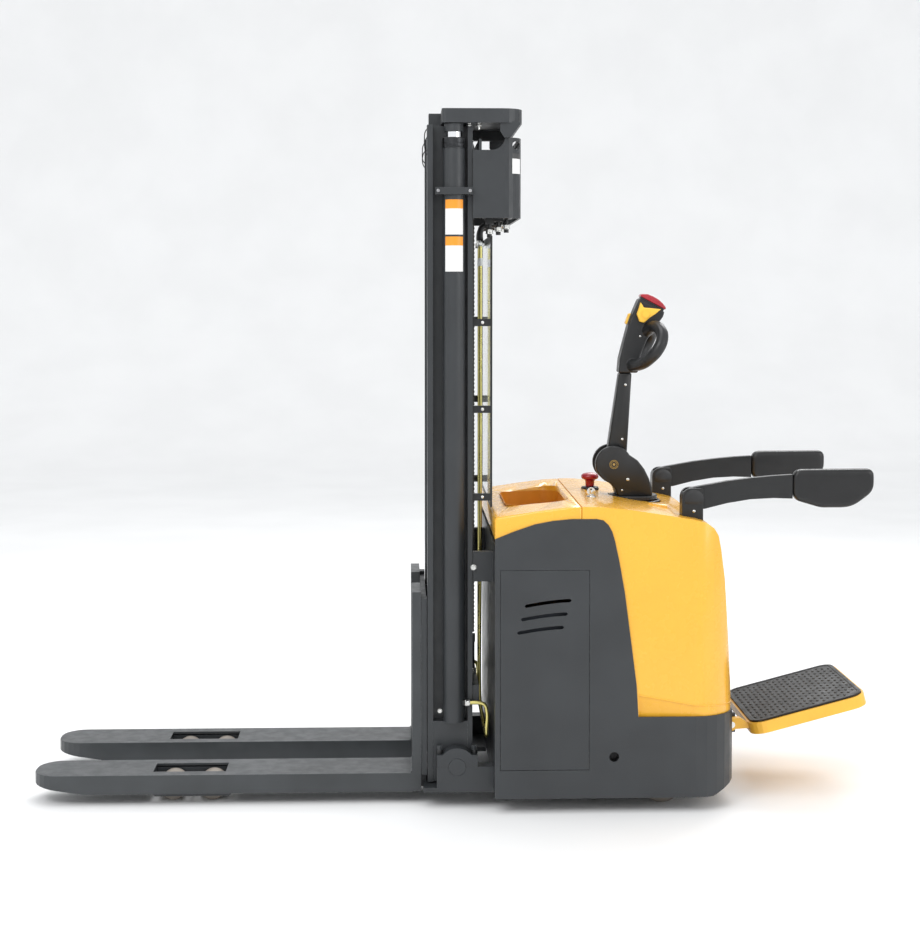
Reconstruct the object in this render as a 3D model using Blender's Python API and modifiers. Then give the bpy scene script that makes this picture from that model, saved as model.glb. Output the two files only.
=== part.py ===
"""Stand-on electric stacker: a pallet truck with a two-stage mast, a tiller and a folding platform.

Metres, +Z up, floor at Z 0. Fork tips point to -X, the operator stands at +X, and the machine
is centred on X and Y. Left and right are the operator's, so left is -Y.
"""

import math

import bmesh
import bpy
from mathutils import Matrix, Vector

# Driving dimensions
HALF_LENGTH = 1.283
GAP = 0.0003
SIDES = (("left", -1), ("right", 1))

FORK_LENGTH = 1.149
FORK_WIDTH = 0.180
FORK_CENTRE_Y = 0.195
FORK_TOP = 0.092
FORK_BOTTOM = 0.034
FORK_PLATE = 0.008
FORK_SIDE = 0.006
FORK_HEEL_X = FORK_LENGTH - HALF_LENGTH
SHANK_THICK = 0.028
SHANK_TOP = 0.644

LOAD_X = -0.804
LOAD_RADIUS = 0.041
LOAD_HALF_WIDTH = 0.035
LOAD_SPACING = 0.120
DRIVE_X = 0.573
DRIVE_RADIUS = 0.115
DRIVE_HALF_WIDTH = 0.0375
CASTER_X = 0.660
CASTER_Y = 0.285
CASTER_RADIUS = 0.0625
CASTER_TRAIL = 0.035

MAST_FRONT = -0.087
MAST_REAR = 0.049
OUTER_BOTTOM = 0.066
OUTER_TOP = 2.050
INNER_BOTTOM = 0.085
INNER_TOP = 2.092
CROSSHEAD_BOTTOM = 2.054
CROSSHEAD_TOP = 2.096
CROSSHEAD_REAR = 0.198

CYLINDER_X = -0.007
CYLINDER_Y = 0.290
CYLINDER_RADIUS = 0.033
CYLINDER_BOTTOM = 0.252
GLAND_BOTTOM = 1.981
GLAND_TOP = 2.011
ROD_RADIUS = 0.0225
TRUNNION_X = 0.001
TRUNNION_Z = 0.124

PULLEY_X = 0.013
PULLEY_Z = 1.990
PULLEY_PITCH = 0.045
CHAIN_Y = 0.090
CHAIN_HALF = 0.008
CHAIN_ANCHOR_Z = 0.480
CARRIAGE_ANCHOR_Z = 0.440

BODY_FRONT = 0.111
BODY_REAR = 0.841
BODY_HALF_WIDTH = 0.410
BODY_BOTTOM = 0.045
BODY_CORNER = 0.130
SHELL = 0.005
SKIRT_TOP = 0.288
SEAM_X = 0.369
COVER_BOTTOM = 0.815
DOOR_X = (0.126, 0.392)
DOOR_Z = (0.130, 0.729)

PIVOT_X = 0.506
PIVOT_Z = 1.007
TURNTABLE_RADIUS = 0.077
POST_X = (0.677, 0.741)
POST_Y = (0.285, 0.335)
ARM_X = 0.713
ARM_Z = 0.943
PAD_X = (1.015, 1.262)
PLATFORM_X = 0.862
PLATFORM_Z = 0.205
PLATFORM_TILT = math.radians(14.7)
PLATFORM_HALF_WIDTH = 0.225

STOP_X = 0.446
STOP_Y = 0.097
KEY_X = 0.424
KEY_Y = -0.144


# Scene helpers
def clear_scene():
    for obj in list(bpy.data.objects):
        bpy.data.objects.remove(obj, do_unlink=True)


def new_collection(name):
    collection = bpy.data.collections.new(name)
    bpy.context.scene.collection.children.link(collection)
    return collection


def material(name, color, roughness, metallic=0.0):
    made = bpy.data.materials.new(name)
    made.use_nodes = True
    shader = made.node_tree.nodes["Principled BSDF"]
    shader.inputs["Base Color"].default_value = (*color, 1.0)
    shader.inputs["Roughness"].default_value = roughness
    shader.inputs["Metallic"].default_value = metallic
    made.diffuse_color = (*color, 1.0)
    return made


def helper(obj):
    """Marks a cutter or a joined piece, which is no part of its own."""
    for collection in list(obj.users_collection):
        collection.objects.unlink(obj)
    HELPERS.objects.link(obj)
    obj.hide_render = True
    obj.display_type = "WIRE"
    return obj


def from_bmesh(bm):
    mesh = bpy.data.meshes.new("shape")
    bm.to_mesh(mesh)
    bm.free()
    obj = bpy.data.objects.new("shape", mesh)
    PARTS.objects.link(obj)
    return obj


def box(low, high, bevel=0.0, segments=1):
    """Box between two corners, with its origin at its centre."""
    low, high = Vector(low), Vector(high)
    bm = bmesh.new()
    bmesh.ops.create_cube(bm, size=1.0, matrix=Matrix.Diagonal((*(high - low), 1.0)))
    if bevel:
        bmesh.ops.bevel(bm, geom=bm.edges[:], offset=bevel, segments=segments, profile=0.5,
                        affect="EDGES")
    obj = from_bmesh(bm)
    obj.location = (low + high) / 2
    return obj


def mirrored_box(side, x, y, z, bevel=0.0):
    """Box given by its ranges, on the side of the machine that y times side says."""
    y = sorted(side * value for value in y)
    return box((x[0], y[0], z[0]), (x[1], y[1], z[1]), bevel)


AXIS_TURN = {"X": (0.0, math.pi / 2, 0.0), "Y": (-math.pi / 2, 0.0, 0.0), "Z": (0.0, 0.0, 0.0)}


def rod(radius, start, end, sides=20):
    """Cylinder between two points."""
    start, end = Vector(start), Vector(end)
    bm = bmesh.new()
    bmesh.ops.create_cone(bm, cap_ends=True, segments=sides, radius1=radius, radius2=radius,
                          depth=(end - start).length)
    obj = from_bmesh(bm)
    obj.rotation_euler = (end - start).to_track_quat("Z", "Y").to_euler()
    obj.location = (start + end) / 2
    return obj


def disc_y(radius, x, z, y, sides=16):
    """Cylinder across the machine, from y[0] to y[1], with a corner at its lowest point."""
    bm = bmesh.new()
    bmesh.ops.create_cone(bm, cap_ends=True, segments=sides, radius1=radius, radius2=radius,
                          depth=abs(y[1] - y[0]))
    obj = from_bmesh(bm)
    obj.rotation_euler = AXIS_TURN["Y"]
    obj.location = (x, (y[0] + y[1]) / 2, z)
    return obj


def turned(profile, axis, location, steps=24):
    """Profile of (radius, height) points spun round an axis; its outer side runs downwards."""
    mesh = bpy.data.meshes.new("turned")
    mesh.from_pydata([(r, 0.0, h) for r, h in profile],
                     [(i, i + 1) for i in range(len(profile) - 1)], [])
    obj = bpy.data.objects.new("turned", mesh)
    PARTS.objects.link(obj)
    screw = obj.modifiers.new("Screw", "SCREW")
    screw.steps = screw.render_steps = steps
    screw.use_merge_vertices = True
    screw.merge_threshold = 0.00001
    screw.use_smooth_shade = True
    obj.rotation_euler = AXIS_TURN[axis]
    obj.location = location
    return obj


def as_mesh(curve_object):
    """Mesh copy of a curve object, with its caps welded on."""
    bpy.context.view_layer.update()
    graph = bpy.context.evaluated_depsgraph_get()
    mesh = bpy.data.meshes.new_from_object(curve_object.evaluated_get(graph))
    bm = bmesh.new()
    bm.from_mesh(mesh)
    bmesh.ops.remove_doubles(bm, verts=bm.verts, dist=0.00001)
    bmesh.ops.recalc_face_normals(bm, faces=bm.faces)
    if bm.calc_volume(signed=True) < 0:
        bmesh.ops.reverse_faces(bm, faces=bm.faces)
    bm.to_mesh(mesh)
    bm.free()
    obj = bpy.data.objects.new(curve_object.name, mesh)
    PARTS.objects.link(obj)
    obj.matrix_world = curve_object.matrix_world
    bpy.data.objects.remove(curve_object, do_unlink=True)
    return obj


PLANES = {
    "XY": ((0.0, 0.0, 0.0), 2),
    "XZ": ((math.pi / 2, 0.0, 0.0), 1),
    "YZ": ((math.pi / 2, 0.0, math.pi / 2), 0),
}


def plate(outline, plane, low, high, holes=()):
    """Flat outline in a plane, thickened from low to high along the plane's normal."""
    curve = bpy.data.curves.new("plate", "CURVE")
    curve.dimensions = "2D"
    curve.fill_mode = "BOTH"
    curve.extrude = abs(high - low) / 2
    for loop in (outline, *holes):
        spline = curve.splines.new("POLY")
        spline.points.add(len(loop) - 1)
        for point, (u, v) in zip(spline.points, loop):
            point.co = (u, v, 0.0, 1.0)
        spline.use_cyclic_u = True
    obj = bpy.data.objects.new("plate", curve)
    PARTS.objects.link(obj)
    turn, normal = PLANES[plane]
    obj.rotation_euler = turn
    obj.location[normal] = (low + high) / 2
    return as_mesh(obj)


def tube(points, radius, resolution=2):
    """Round bar along straight runs between points."""
    curve = bpy.data.curves.new("tube", "CURVE")
    curve.dimensions = "3D"
    curve.bevel_depth = radius
    curve.bevel_resolution = resolution
    curve.use_fill_caps = True
    spline = curve.splines.new("POLY")
    spline.points.add(len(points) - 1)
    for point, place in zip(spline.points, points):
        point.co = (*place, 1.0)
    obj = bpy.data.objects.new("tube", curve)
    PARTS.objects.link(obj)
    return as_mesh(obj)


def smooth_path(points, steps=4):
    """Points of a smooth curve through the given ones."""
    ends = [Vector(points[0]) * 2 - Vector(points[1]), Vector(points[-1]) * 2 - Vector(points[-2])]
    knots = [ends[0], *map(Vector, points), ends[1]]
    path = []
    for a, b, c, d in zip(knots, knots[1:], knots[2:], knots[3:]):
        for i in range(steps):
            t = i / steps
            path.append(0.5 * (2 * b + (c - a) * t + (2 * a - 5 * b + 4 * c - d) * t ** 2
                               + (3 * b - a - 3 * c + d) * t ** 3))
    return [*path, knots[-2]]


def arc(centre, radius, start, end, steps=6):
    """Points on an arc, with its angles in degrees from the first axis."""
    angles = [math.radians(start + (end - start) * i / steps) for i in range(steps + 1)]
    return [(centre[0] + radius * math.cos(a), centre[1] + radius * math.sin(a)) for a in angles]


def rounded(corners, steps=4):
    """Outline of (u, v, radius) corners, with each corner rounded to its radius."""
    outline = []
    for i, (u, v, radius) in enumerate(corners):
        here = Vector((u, v))
        before = (Vector(corners[i - 1][:2]) - here).normalized()
        after = (Vector(corners[(i + 1) % len(corners)][:2]) - here).normalized()
        if not radius:
            outline.append((u, v))
            continue
        half = before.angle(after) / 2
        centre = here + (before + after).normalized() * radius / math.sin(half)
        reach = radius / math.tan(half)
        first, last = here + before * reach - centre, here + after * reach - centre
        turn = first.angle_signed(last)
        for k in range(steps + 1):
            spoke = first.copy()
            spoke.rotate(Matrix.Rotation(-turn * k / steps, 2))
            outline.append(tuple(centre + spoke))
    return outline


def rectangle(u, v, radius=0.0, steps=4):
    corners = [(u[0], v[0], radius), (u[1], v[0], radius), (u[1], v[1], radius),
               (u[0], v[1], radius)]
    return rounded(corners, steps)


def combine(obj, others, operation):
    for other in others:
        modifier = obj.modifiers.new(operation.title(), "BOOLEAN")
        modifier.operation = operation
        modifier.solver = "MANIFOLD"  # EXACT leaves gaps where welded plates share a plane
        modifier.object = helper(other)
    return obj


def cut(obj, *cutters):
    return combine(obj, cutters, "DIFFERENCE")


def join(obj, *others):
    return combine(obj, others, "UNION")


def keep_inside(obj, *others):
    return combine(obj, others, "INTERSECT")


def pivot(name, location, parent=None):
    """Empty on a joint's axis, which carries the pieces that move with it."""
    empty = bpy.data.objects.new(name, None)
    empty.empty_display_size = 0.05
    PARTS.objects.link(empty)
    empty.parent = parent
    empty.location = Vector(location) - (PLACES[parent.name] if parent else Vector())
    PLACES[name] = Vector(location)
    return empty


def node(obj, name, finish, parent=None):
    """Names a finished piece, gives it its material, and hangs it from its pivot."""
    obj.name = name
    obj.data.name = name
    obj.data.materials.clear()
    obj.data.materials.append(MATERIALS[finish])
    obj.data.shade_smooth()
    if obj.data.polygons:
        obj.data.set_sharp_from_angle(angle=math.radians(35))
    if parent:
        obj.parent = parent
        obj.matrix_parent_inverse = Matrix.Translation(-PLACES[parent.name])
    return obj


# Chassis and legs
def body_plan(inset, front):
    """Plan outline of the body, from a front line to the rounded rear corners."""
    y = BODY_HALF_WIDTH - inset
    return rounded([(front, -y, 0), (BODY_REAR - inset, -y, BODY_CORNER - inset),
                    (BODY_REAR - inset, y, BODY_CORNER - inset), (front, y, 0)], 6)


def chassis_frame():
    y = BODY_HALF_WIDTH - SHELL - 0.0005
    frame = box((BODY_FRONT, -y, 0.060), (BODY_FRONT + 0.010, y, 0.800))
    drive_plate = cut(plate(body_plan(SHELL + 0.012, 0.396), "XY", 0.300, 0.310),
                      rod(0.105, (DRIVE_X, 0, 0.28), (DRIVE_X, 0, 0.33), 32))
    pieces = [
        box((BODY_FRONT + 0.005, -0.39, 0.060), (0.398, 0.39, 0.068)),
        box((0.392, -0.395, 0.061), (0.400, 0.395, 0.640)),
        drive_plate,
        box((0.800, -0.24, 0.10), (0.810, 0.24, 0.305)),
    ]
    for _, side in SIDES:
        pieces.append(mirrored_box(side, (0.114, 0.70), (0.392, 0.400), (0.062, 0.100)))
        pieces.append(mirrored_box(side, (0.50, 0.70), (0.385, 0.393), (0.070, 0.305)))
        pieces.append(rod(0.030, (CASTER_X, side * CASTER_Y, 0.1603),
                          (CASTER_X, side * CASTER_Y, 0.304)))
        pieces.append(mirrored_box(side, (0.0498, 0.115), (0.255, 0.286), (0.676, 0.766)))
    return node(join(frame, *pieces), "chassis_frame", "dark_paint")


def support_leg(name, side):
    """Straddle leg under a fork, with the pillow block that clamps the mast's trunnion."""
    centre = side * FORK_CENTRE_Y
    leg = box((-0.680, centre - 0.070, 0.046), (-0.092, centre + 0.070, 0.080))
    shoe = plate([(-0.935, 0.040), (-0.915, 0.022), (-0.690, 0.022), (-0.660, 0.046),
                  (-0.660, 0.080), (-0.935, 0.080)], "XZ", centre - 0.070, centre + 0.070)
    foot = mirrored_box(side, (-0.100, BODY_FRONT - GAP), (0.125, 0.3425), (0.048, 0.062))
    block_top = arc((TRUNNION_X, TRUNNION_Z), 0.057, 39.2, 140.8, 10)
    block = plate([(-0.060, 0.049), (BODY_FRONT - GAP, 0.049), (BODY_FRONT - GAP, 0.125),
                   (0.062, 0.125), (0.062, 0.160), *block_top, (-0.060, 0.160)],
                  "XZ", side * 0.2925, side * 0.3425)
    bolts = [rod(0.009, (x, side * 0.3175, 0.155), (x, side * 0.3175, 0.185), 6)
             for x in (-0.051, 0.053)]
    slot = box((-0.925, centre - 0.0455, 0.0), (-0.683, centre + 0.0455, 0.12))
    pin = disc_y(0.0103, LOAD_X, LOAD_RADIUS, (centre - 0.1, centre + 0.1))
    trunnion = disc_y(0.0264, TRUNNION_X, TRUNNION_Z, (side * 0.28, side * 0.36), 32)
    leg = cut(join(leg, shoe, foot, block, *bolts), slot, pin, trunnion)
    return node(leg, f"support_leg_{name}", "dark_paint")


def load_bogie(name, side):
    """Rocker that carries a tandem pair of load wheels."""
    centre = side * FORK_CENTRE_Y
    empty = pivot(f"bogie_{name}_pivot", (LOAD_X, centre, LOAD_RADIUS))
    wheels = [LOAD_X - LOAD_SPACING / 2, LOAD_X + LOAD_SPACING / 2]
    cheek = rounded([(wheels[0] - 0.018, LOAD_RADIUS - 0.016, 0.012),
                     (wheels[1] + 0.018, LOAD_RADIUS - 0.016, 0.012),
                     (wheels[1] + 0.018, LOAD_RADIUS + 0.016, 0.012),
                     (wheels[0] - 0.018, LOAD_RADIUS + 0.016, 0.012)], 3)
    cheeks = [plate(cheek, "XZ", centre + s * 0.037, centre + s * 0.042) for s in (-1, 1)]
    pins = [disc_y(0.008, x, LOAD_RADIUS, (centre - 0.041, centre + 0.041), 16) for x in wheels]
    hub = disc_y(0.010, LOAD_X, LOAD_RADIUS, (centre - 0.068, centre + 0.068), 16)
    node(join(cheeks[0], cheeks[1], *pins, hub), f"load_bogie_{name}", "steel", empty)
    for end, x in zip(("front", "rear"), wheels):
        half = LOAD_HALF_WIDTH
        profile = [(0.0083, half), (0.037, half), (LOAD_RADIUS, half - 0.004),
                   (LOAD_RADIUS, 0.004 - half), (0.037, -half), (0.0083, -half), (0.0083, half)]
        spin = pivot(f"load_wheel_{name}_{end}_pivot", (x, centre, LOAD_RADIUS), empty)
        wheel = turned(profile, "Y", (x, centre, LOAD_RADIUS), 20)
        node(wheel, f"load_wheel_{name}_{end}", "wheel", spin)


def caster(name, side):
    y = side * CASTER_Y
    swivel = pivot(f"caster_{name}_swivel", (CASTER_X, y, 0.155))
    wheel_x = CASTER_X - CASTER_TRAIL
    top = rod(0.034, (CASTER_X, y, 0.148), (CASTER_X, y, 0.160))
    cheek = [(wheel_x - 0.014, 0.052), (wheel_x + 0.014, 0.052), (CASTER_X + 0.028, 0.150),
             (CASTER_X - 0.028, 0.150)]
    cheeks = [plate(cheek, "XZ", y + s * 0.0225, y + s * 0.0265) for s in (-1, 1)]
    axle = disc_y(0.006, wheel_x, CASTER_RADIUS, (y - 0.026, y + 0.026), 16)
    node(join(top, *cheeks, axle), f"caster_fork_{name}", "steel", swivel)
    spin = pivot(f"caster_wheel_{name}_pivot", (wheel_x, y, CASTER_RADIUS), swivel)
    profile = [(0.0063, 0.020), (0.058, 0.020), (CASTER_RADIUS, 0.014),
               (CASTER_RADIUS, -0.014), (0.058, -0.020), (0.0063, -0.020), (0.0063, 0.020)]
    node(turned(profile, "Y", (wheel_x, y, CASTER_RADIUS), 20), f"caster_wheel_{name}",
         "wheel", spin)


# Mast
def outer_upright(name, side):
    """I-section rail with its solid foot, its trunnion, and the strap round the cylinder."""
    front, rear = MAST_FRONT + 0.017, MAST_REAR - 0.015
    section = [(MAST_FRONT, 0.205), (front, 0.205), (front, 0.240), (rear, 0.240),
               (rear, 0.205), (MAST_REAR, 0.205), (MAST_REAR, 0.290), (rear, 0.290),
               (rear, 0.252), (front, 0.252), (front, 0.290), (MAST_FRONT, 0.290)]
    rail = plate([(x, side * y) for x, y in section], "XY", OUTER_BOTTOM, OUTER_TOP)
    foot = mirrored_box(side, (front - 0.002, rear + 0.002), (0.250, 0.289),
                        (OUTER_BOTTOM + 0.001, CYLINDER_BOTTOM - GAP))
    trunnion = disc_y(0.026, TRUNNION_X, TRUNNION_Z, (side * 0.284, side * 0.3425), 32)
    strap = mirrored_box(side, (-0.063, MAST_REAR - 0.001), (0.288, 0.331), (1.841, 1.862))
    strap = cut(strap, rod(0.0333, (CYLINDER_X, side * CYLINDER_Y, 1.8),
                           (CYLINDER_X, side * CYLINDER_Y, 1.9), 24))
    return node(join(rail, foot, trunnion, strap), f"outer_mast_upright_{name}", "dark_paint")


def outer_crossbeam():
    """Low rear tie between the outer uprights, with the two chain anchors."""
    beam = box((MAST_REAR + GAP, -0.285, 0.300), (0.069, 0.285, 0.360))
    x = PULLEY_X + PULLEY_PITCH
    pieces = []
    for _, side in SIDES:
        y = side * CHAIN_Y
        pieces.append(rod(0.006, (x, y, 0.350), (x, y, 0.462), 12))
        pieces.append(box((x - 0.0075, y - 0.010, 0.455), (x + 0.0075, y + 0.010,
                                                          CHAIN_ANCHOR_Z - GAP)))
    return node(join(beam, *pieces), "outer_mast_crossbeam", "dark_paint")


def outer_top_cover():
    """Bent U plate and cross tie that join the tops of the outer uprights."""
    def path(inset, front):
        return rounded([(front, -0.300 + inset, 0), (0.196 - inset, -0.300 + inset, 0.052 - inset),
                        (0.196 - inset, 0.300 - inset, 0.052 - inset), (front, 0.300 - inset, 0)], 6)
    cover = plate(path(0.0, MAST_REAR + GAP), "XY", 1.772, 2.012)
    opening = plate(path(0.008, 0.0), "XY", 1.70, 2.10)
    notch = plate([(0.0, 1.975), (0.104, 1.975), *arc((0.106, 2.015), 0.040, -88, -6, 6),
                   (0.148, 2.10), (0.0, 2.10)], "XZ", -0.4, 0.4)
    hole = disc_y(0.012, 0.180, 1.990, (-0.4, 0.4), 16)
    tie = box((0.068, -0.294, 1.945), (0.076, 0.294, 2.008))
    return node(join(cut(cover, opening, notch, hole), tie), "outer_mast_top_cover",
                "dark_paint")


def lift_cylinder(name, side):
    radius = CYLINDER_RADIUS
    profile = [(0.0, 0.300), (0.027, 0.300), (0.027, 1.976), (0.024, 1.976), (0.024, GLAND_TOP),
               (0.035, GLAND_TOP), (0.035, GLAND_BOTTOM), (radius, GLAND_BOTTOM),
               (radius, 0.285), (0.032, 0.283), (0.032, CYLINDER_BOTTOM), (0.0, CYLINDER_BOTTOM)]
    return node(turned(profile, "Z", (CYLINDER_X, side * CYLINDER_Y, 0.0), 16),
                f"lift_cylinder_{name}", "dark_paint")


def inner_mast_frame(empty):
    """Inner uprights, which open inwards, tied together low down at the rear."""
    front, rear = MAST_FRONT + 0.006, MAST_REAR - 0.006
    frame = box((0.010, -0.160, 0.095), (rear - 0.0005, 0.160, 0.150))
    pieces = []
    for _, side in SIDES:
        section = [(front, 0.150), (front + 0.014, 0.150), (front + 0.014, 0.1915),
                   (rear - 0.014, 0.1915), (rear - 0.014, 0.150), (rear, 0.150),
                   (rear, 0.2035), (front, 0.2035)]
        rail = plate([(x, side * y) for x, y in section], "XY", INNER_BOTTOM, INNER_TOP)
        top = mirrored_box(side, (-0.0445, 0.1), (0.1, 0.3), (CROSSHEAD_BOTTOM - GAP, 2.2))
        pieces.append(cut(rail, top))
        pieces.append(disc_y(0.0512, -0.018, 0.170, (side * 0.2020, side * 0.2375)))
    return node(join(frame, *pieces), "inner_mast_frame", "dark_paint", empty)


def inner_crosshead(empty):
    """Top plate of the inner mast, with lugs and axles for the chain pulleys."""
    plan = rounded([(-0.044, -0.325, 0.012), (CROSSHEAD_REAR, -0.325, 0.060),
                    (CROSSHEAD_REAR, 0.325, 0.060), (-0.044, 0.325, 0.012)], 5)
    head = plate(plan, "XY", CROSSHEAD_BOTTOM, CROSSHEAD_TOP)
    pocket = box((0.060, -0.300, 2.0), (0.188, 0.300, CROSSHEAD_TOP - 0.008))
    head = cut(head, pocket)
    pieces = []
    for _, side in SIDES:
        pieces.append(plate([(0.130, 2.058), (0.130, 2.030), (0.143, 2.010), (0.163, 2.012),
                             (0.190, 2.050), (0.185, 2.058)], "XZ", side * 0.303, side * 0.318))
        y = side * CHAIN_Y
        pieces.append(disc_y(0.010, PULLEY_X, PULLEY_Z, (y - 0.021, y + 0.021), 16))
        for s in (-1, 1):
            edges = sorted((y + s * 0.0145, y + s * 0.0215))
            pieces.append(box((PULLEY_X - 0.013, edges[0], PULLEY_Z - 0.014),
                              (PULLEY_X + 0.013, edges[1], CROSSHEAD_BOTTOM + 0.002)))
    return node(join(head, *pieces), "inner_mast_crosshead", "dark_paint", empty)


def chain_pulley(name, side, empty):
    y = side * CHAIN_Y
    spin = pivot(f"chain_pulley_{name}_pivot", (PULLEY_X, y, PULLEY_Z), empty)
    groove = PULLEY_PITCH - CHAIN_HALF - 0.0006
    profile = [(0.0103, 0.013), (0.050, 0.013), (0.050, 0.0092), (groove, 0.0092),
               (groove, -0.0092), (0.050, -0.0092), (0.050, -0.013), (0.0103, -0.013),
               (0.0103, 0.013)]
    node(turned(profile, "Y", (PULLEY_X, y, PULLEY_Z), 20), f"chain_pulley_{name}", "steel", spin)


def lift_chain(name, side, empty):
    """Front run with its turn over the pulley, and rear run down to the fixed anchor."""
    y = side * CHAIN_Y
    inner, outer = PULLEY_PITCH - CHAIN_HALF, PULLEY_PITCH + CHAIN_HALF
    outline = [(PULLEY_X - outer, CARRIAGE_ANCHOR_Z + GAP),
               *arc((PULLEY_X, PULLEY_Z + GAP), outer, 180, 0, 12),
               *arc((PULLEY_X, PULLEY_Z + GAP), inner, 0, 180, 12),
               (PULLEY_X - inner, CARRIAGE_ANCHOR_Z + GAP)]
    node(plate(outline, "XZ", y - CHAIN_HALF, y + CHAIN_HALF), f"lift_chain_front_{name}",
         "chain", empty)
    node(box((PULLEY_X + inner, y - CHAIN_HALF, CHAIN_ANCHOR_Z),
             (PULLEY_X + outer, y + CHAIN_HALF, PULLEY_Z)), f"lift_chain_rear_{name}", "chain")


def carriage_frame(empty):
    """Fork carriage: crossbars and cheeks in front of the mast, roller plates inside it."""
    heel = FORK_HEEL_X + SHANK_THICK + GAP
    frame = box((heel, -0.245, 0.110), (-0.0895, 0.245, 0.200))
    pieces = [box((heel, -0.245, 0.540), (-0.0895, 0.245, 0.615)),
              box((-0.044, -0.120, 0.400), (-0.020, 0.120, CARRIAGE_ANCHOR_Z))]
    for _, side in SIDES:
        pieces.append(mirrored_box(side, (heel, -0.0885), (0.240, 0.284), (0.086, 0.625)))
        pieces.append(mirrored_box(side, (-0.098, 0.002), (0.118, 0.130), (0.175, 0.600)))
        for z in (0.225, 0.545):
            pieces.append(disc_y(0.0472, -0.019, z, (side * 0.1290, side * 0.188)))
    return node(join(frame, *pieces), "carriage_frame", "dark_paint", empty)


def fork(name, side, empty):
    """Channel-section fork welded to its hanger plate, open below to straddle the leg."""
    centre = side * FORK_CENTRE_Y
    tip = -HALF_LENGTH

    def plan(inset, heel):
        half = FORK_WIDTH / 2 - inset
        return rounded([(tip + inset, centre - half, 0.075 - inset), (heel, centre - half, 0),
                        (heel, centre + half, 0), (tip + inset, centre + half, 0.075 - inset)], 6)

    blade = plate(plan(0.0, FORK_HEEL_X + 0.005), "XY", FORK_BOTTOM, FORK_TOP)
    hollow = plate(plan(FORK_SIDE, FORK_HEEL_X + 0.1), "XY", 0.0, FORK_TOP - FORK_PLATE)
    rise = plate([(tip - 0.02, 0.02), (-1.128, 0.02), (-1.128, FORK_BOTTOM), (tip, 0.058),
                  (tip - 0.02, 0.060)], "XZ", centre - 0.2, centre + 0.2)
    window = box((-0.9225, centre - 0.0475, 0.05), (-0.7015, centre + 0.0475, 0.15))
    shank = box((FORK_HEEL_X, centre - FORK_WIDTH / 2, 0.036),
                (FORK_HEEL_X + SHANK_THICK, centre + FORK_WIDTH / 2, SHANK_TOP))
    notch = box((-0.2, centre - 0.0765, 0.0), (-0.1, centre + 0.0765, FORK_TOP - FORK_PLATE))
    blade = cut(join(blade, shank), hollow, rise, window, notch)
    return node(blade, f"fork_{name}", "dark_paint", empty)


def hydraulic_pipes():
    """Two rising pipes and the pipes to both cylinder feet, joined behind the mast."""
    x = 0.091
    run = [(0.0256, -0.305, 0.310), (0.070, -0.305, 0.310), (0.085, -0.305, 0.304),
           (x, -0.305, 0.290), (x, -0.305, 0.225), (x, -0.300, 0.212), (x, -0.285, 0.206)]
    route = run + [(px, -y, z) for px, y, z in reversed(run)]
    line = tube(route, 0.006, 1)
    risers = [tube([(0.080, -0.12, 1.700), (0.080, -0.12, 0.260), (x, -0.12, 0.206)], 0.006, 1),
              tube([(0.088, 0.12, 1.700), (0.088, 0.12, 0.260), (x, 0.12, 0.206)], 0.006, 1)]
    return node(join(line, *risers), "hydraulic_pipes", "brass")


def screen():
    """Clear guard behind the mast, in a frame held off the uprights by brackets."""
    x = (0.1035, 0.1095)
    frame = box((x[0], -0.273, 1.700), (x[1], 0.273, 1.720))
    pieces = [box((x[0], -0.273, 0.900), (x[1], 0.273, 0.912))]
    for _, side in SIDES:
        pieces.append(mirrored_box(side, x, (0.264, 0.272), (0.901, 1.715)))
        for z in (1.448, 1.186, 0.920):
            pieces.append(mirrored_box(side, (MAST_REAR + GAP, 0.108), (0.2635, 0.2725),
                                       (z, z + 0.022)))
    node(join(frame, *pieces), "screen_frame", "black_paint")
    node(box((x[0] + 0.001, -0.2632, 0.9125), (x[1] - 0.001, 0.2632, 1.6995)), "mast_screen",
         "clear")


# Body
def panel_top():
    """Upper edge of the dark side panel, front to rear."""
    return [(0.110, 0.821), (0.170, 0.845), (0.229, 0.865), (0.282, 0.875), (0.335, 0.880),
            (0.411, 0.880), (0.432, 0.876), (0.447, 0.862), (0.458, 0.842), (0.466, 0.815),
            (0.479, 0.755), (0.496, 0.660), (0.514, 0.522), (0.532, 0.385), (0.538, SKIRT_TOP)]


def body_shell():
    """Bent side panels and rear skirt in one plate, with the platform's hinge lugs."""
    shell = plate(body_plan(0.0, BODY_FRONT), "XY", BODY_BOTTOM, 0.90)
    hollow = plate(body_plan(SHELL, 0.0), "XY", 0.0, 1.0)
    above = plate([(0.0, 0.780), *panel_top(), (0.95, SKIRT_TOP), (0.95, 1.0), (0.0, 1.0)],
                  "XZ", -0.5, 0.5)
    below = plate([(0.763, 0.0), (0.763, BODY_BOTTOM - 0.001), (0.86, 0.085), (0.86, 0.0)],
                  "XZ", -0.5, 0.5)
    doors = box((DOOR_X[0], -0.5, DOOR_Z[0]), (DOOR_X[1], 0.5, DOOR_Z[1]))
    hole = disc_y(0.015, 0.466, 0.169, (-0.5, 0.5), 20)
    shell = cut(shell, hollow, above, below, doors, hole)
    lugs = []
    for _, side in SIDES:
        lugs.append(mirrored_box(side, (BODY_REAR - 0.004, PLATFORM_X + 0.016), (0.132, 0.150),
                                 (PLATFORM_Z - 0.030, PLATFORM_Z + 0.030)))
        lugs.append(disc_y(0.008, PLATFORM_X, PLATFORM_Z, (side * 0.148, side * 0.178), 16))
    return node(join(shell, *lugs), "body_shell", "dark_paint")


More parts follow.
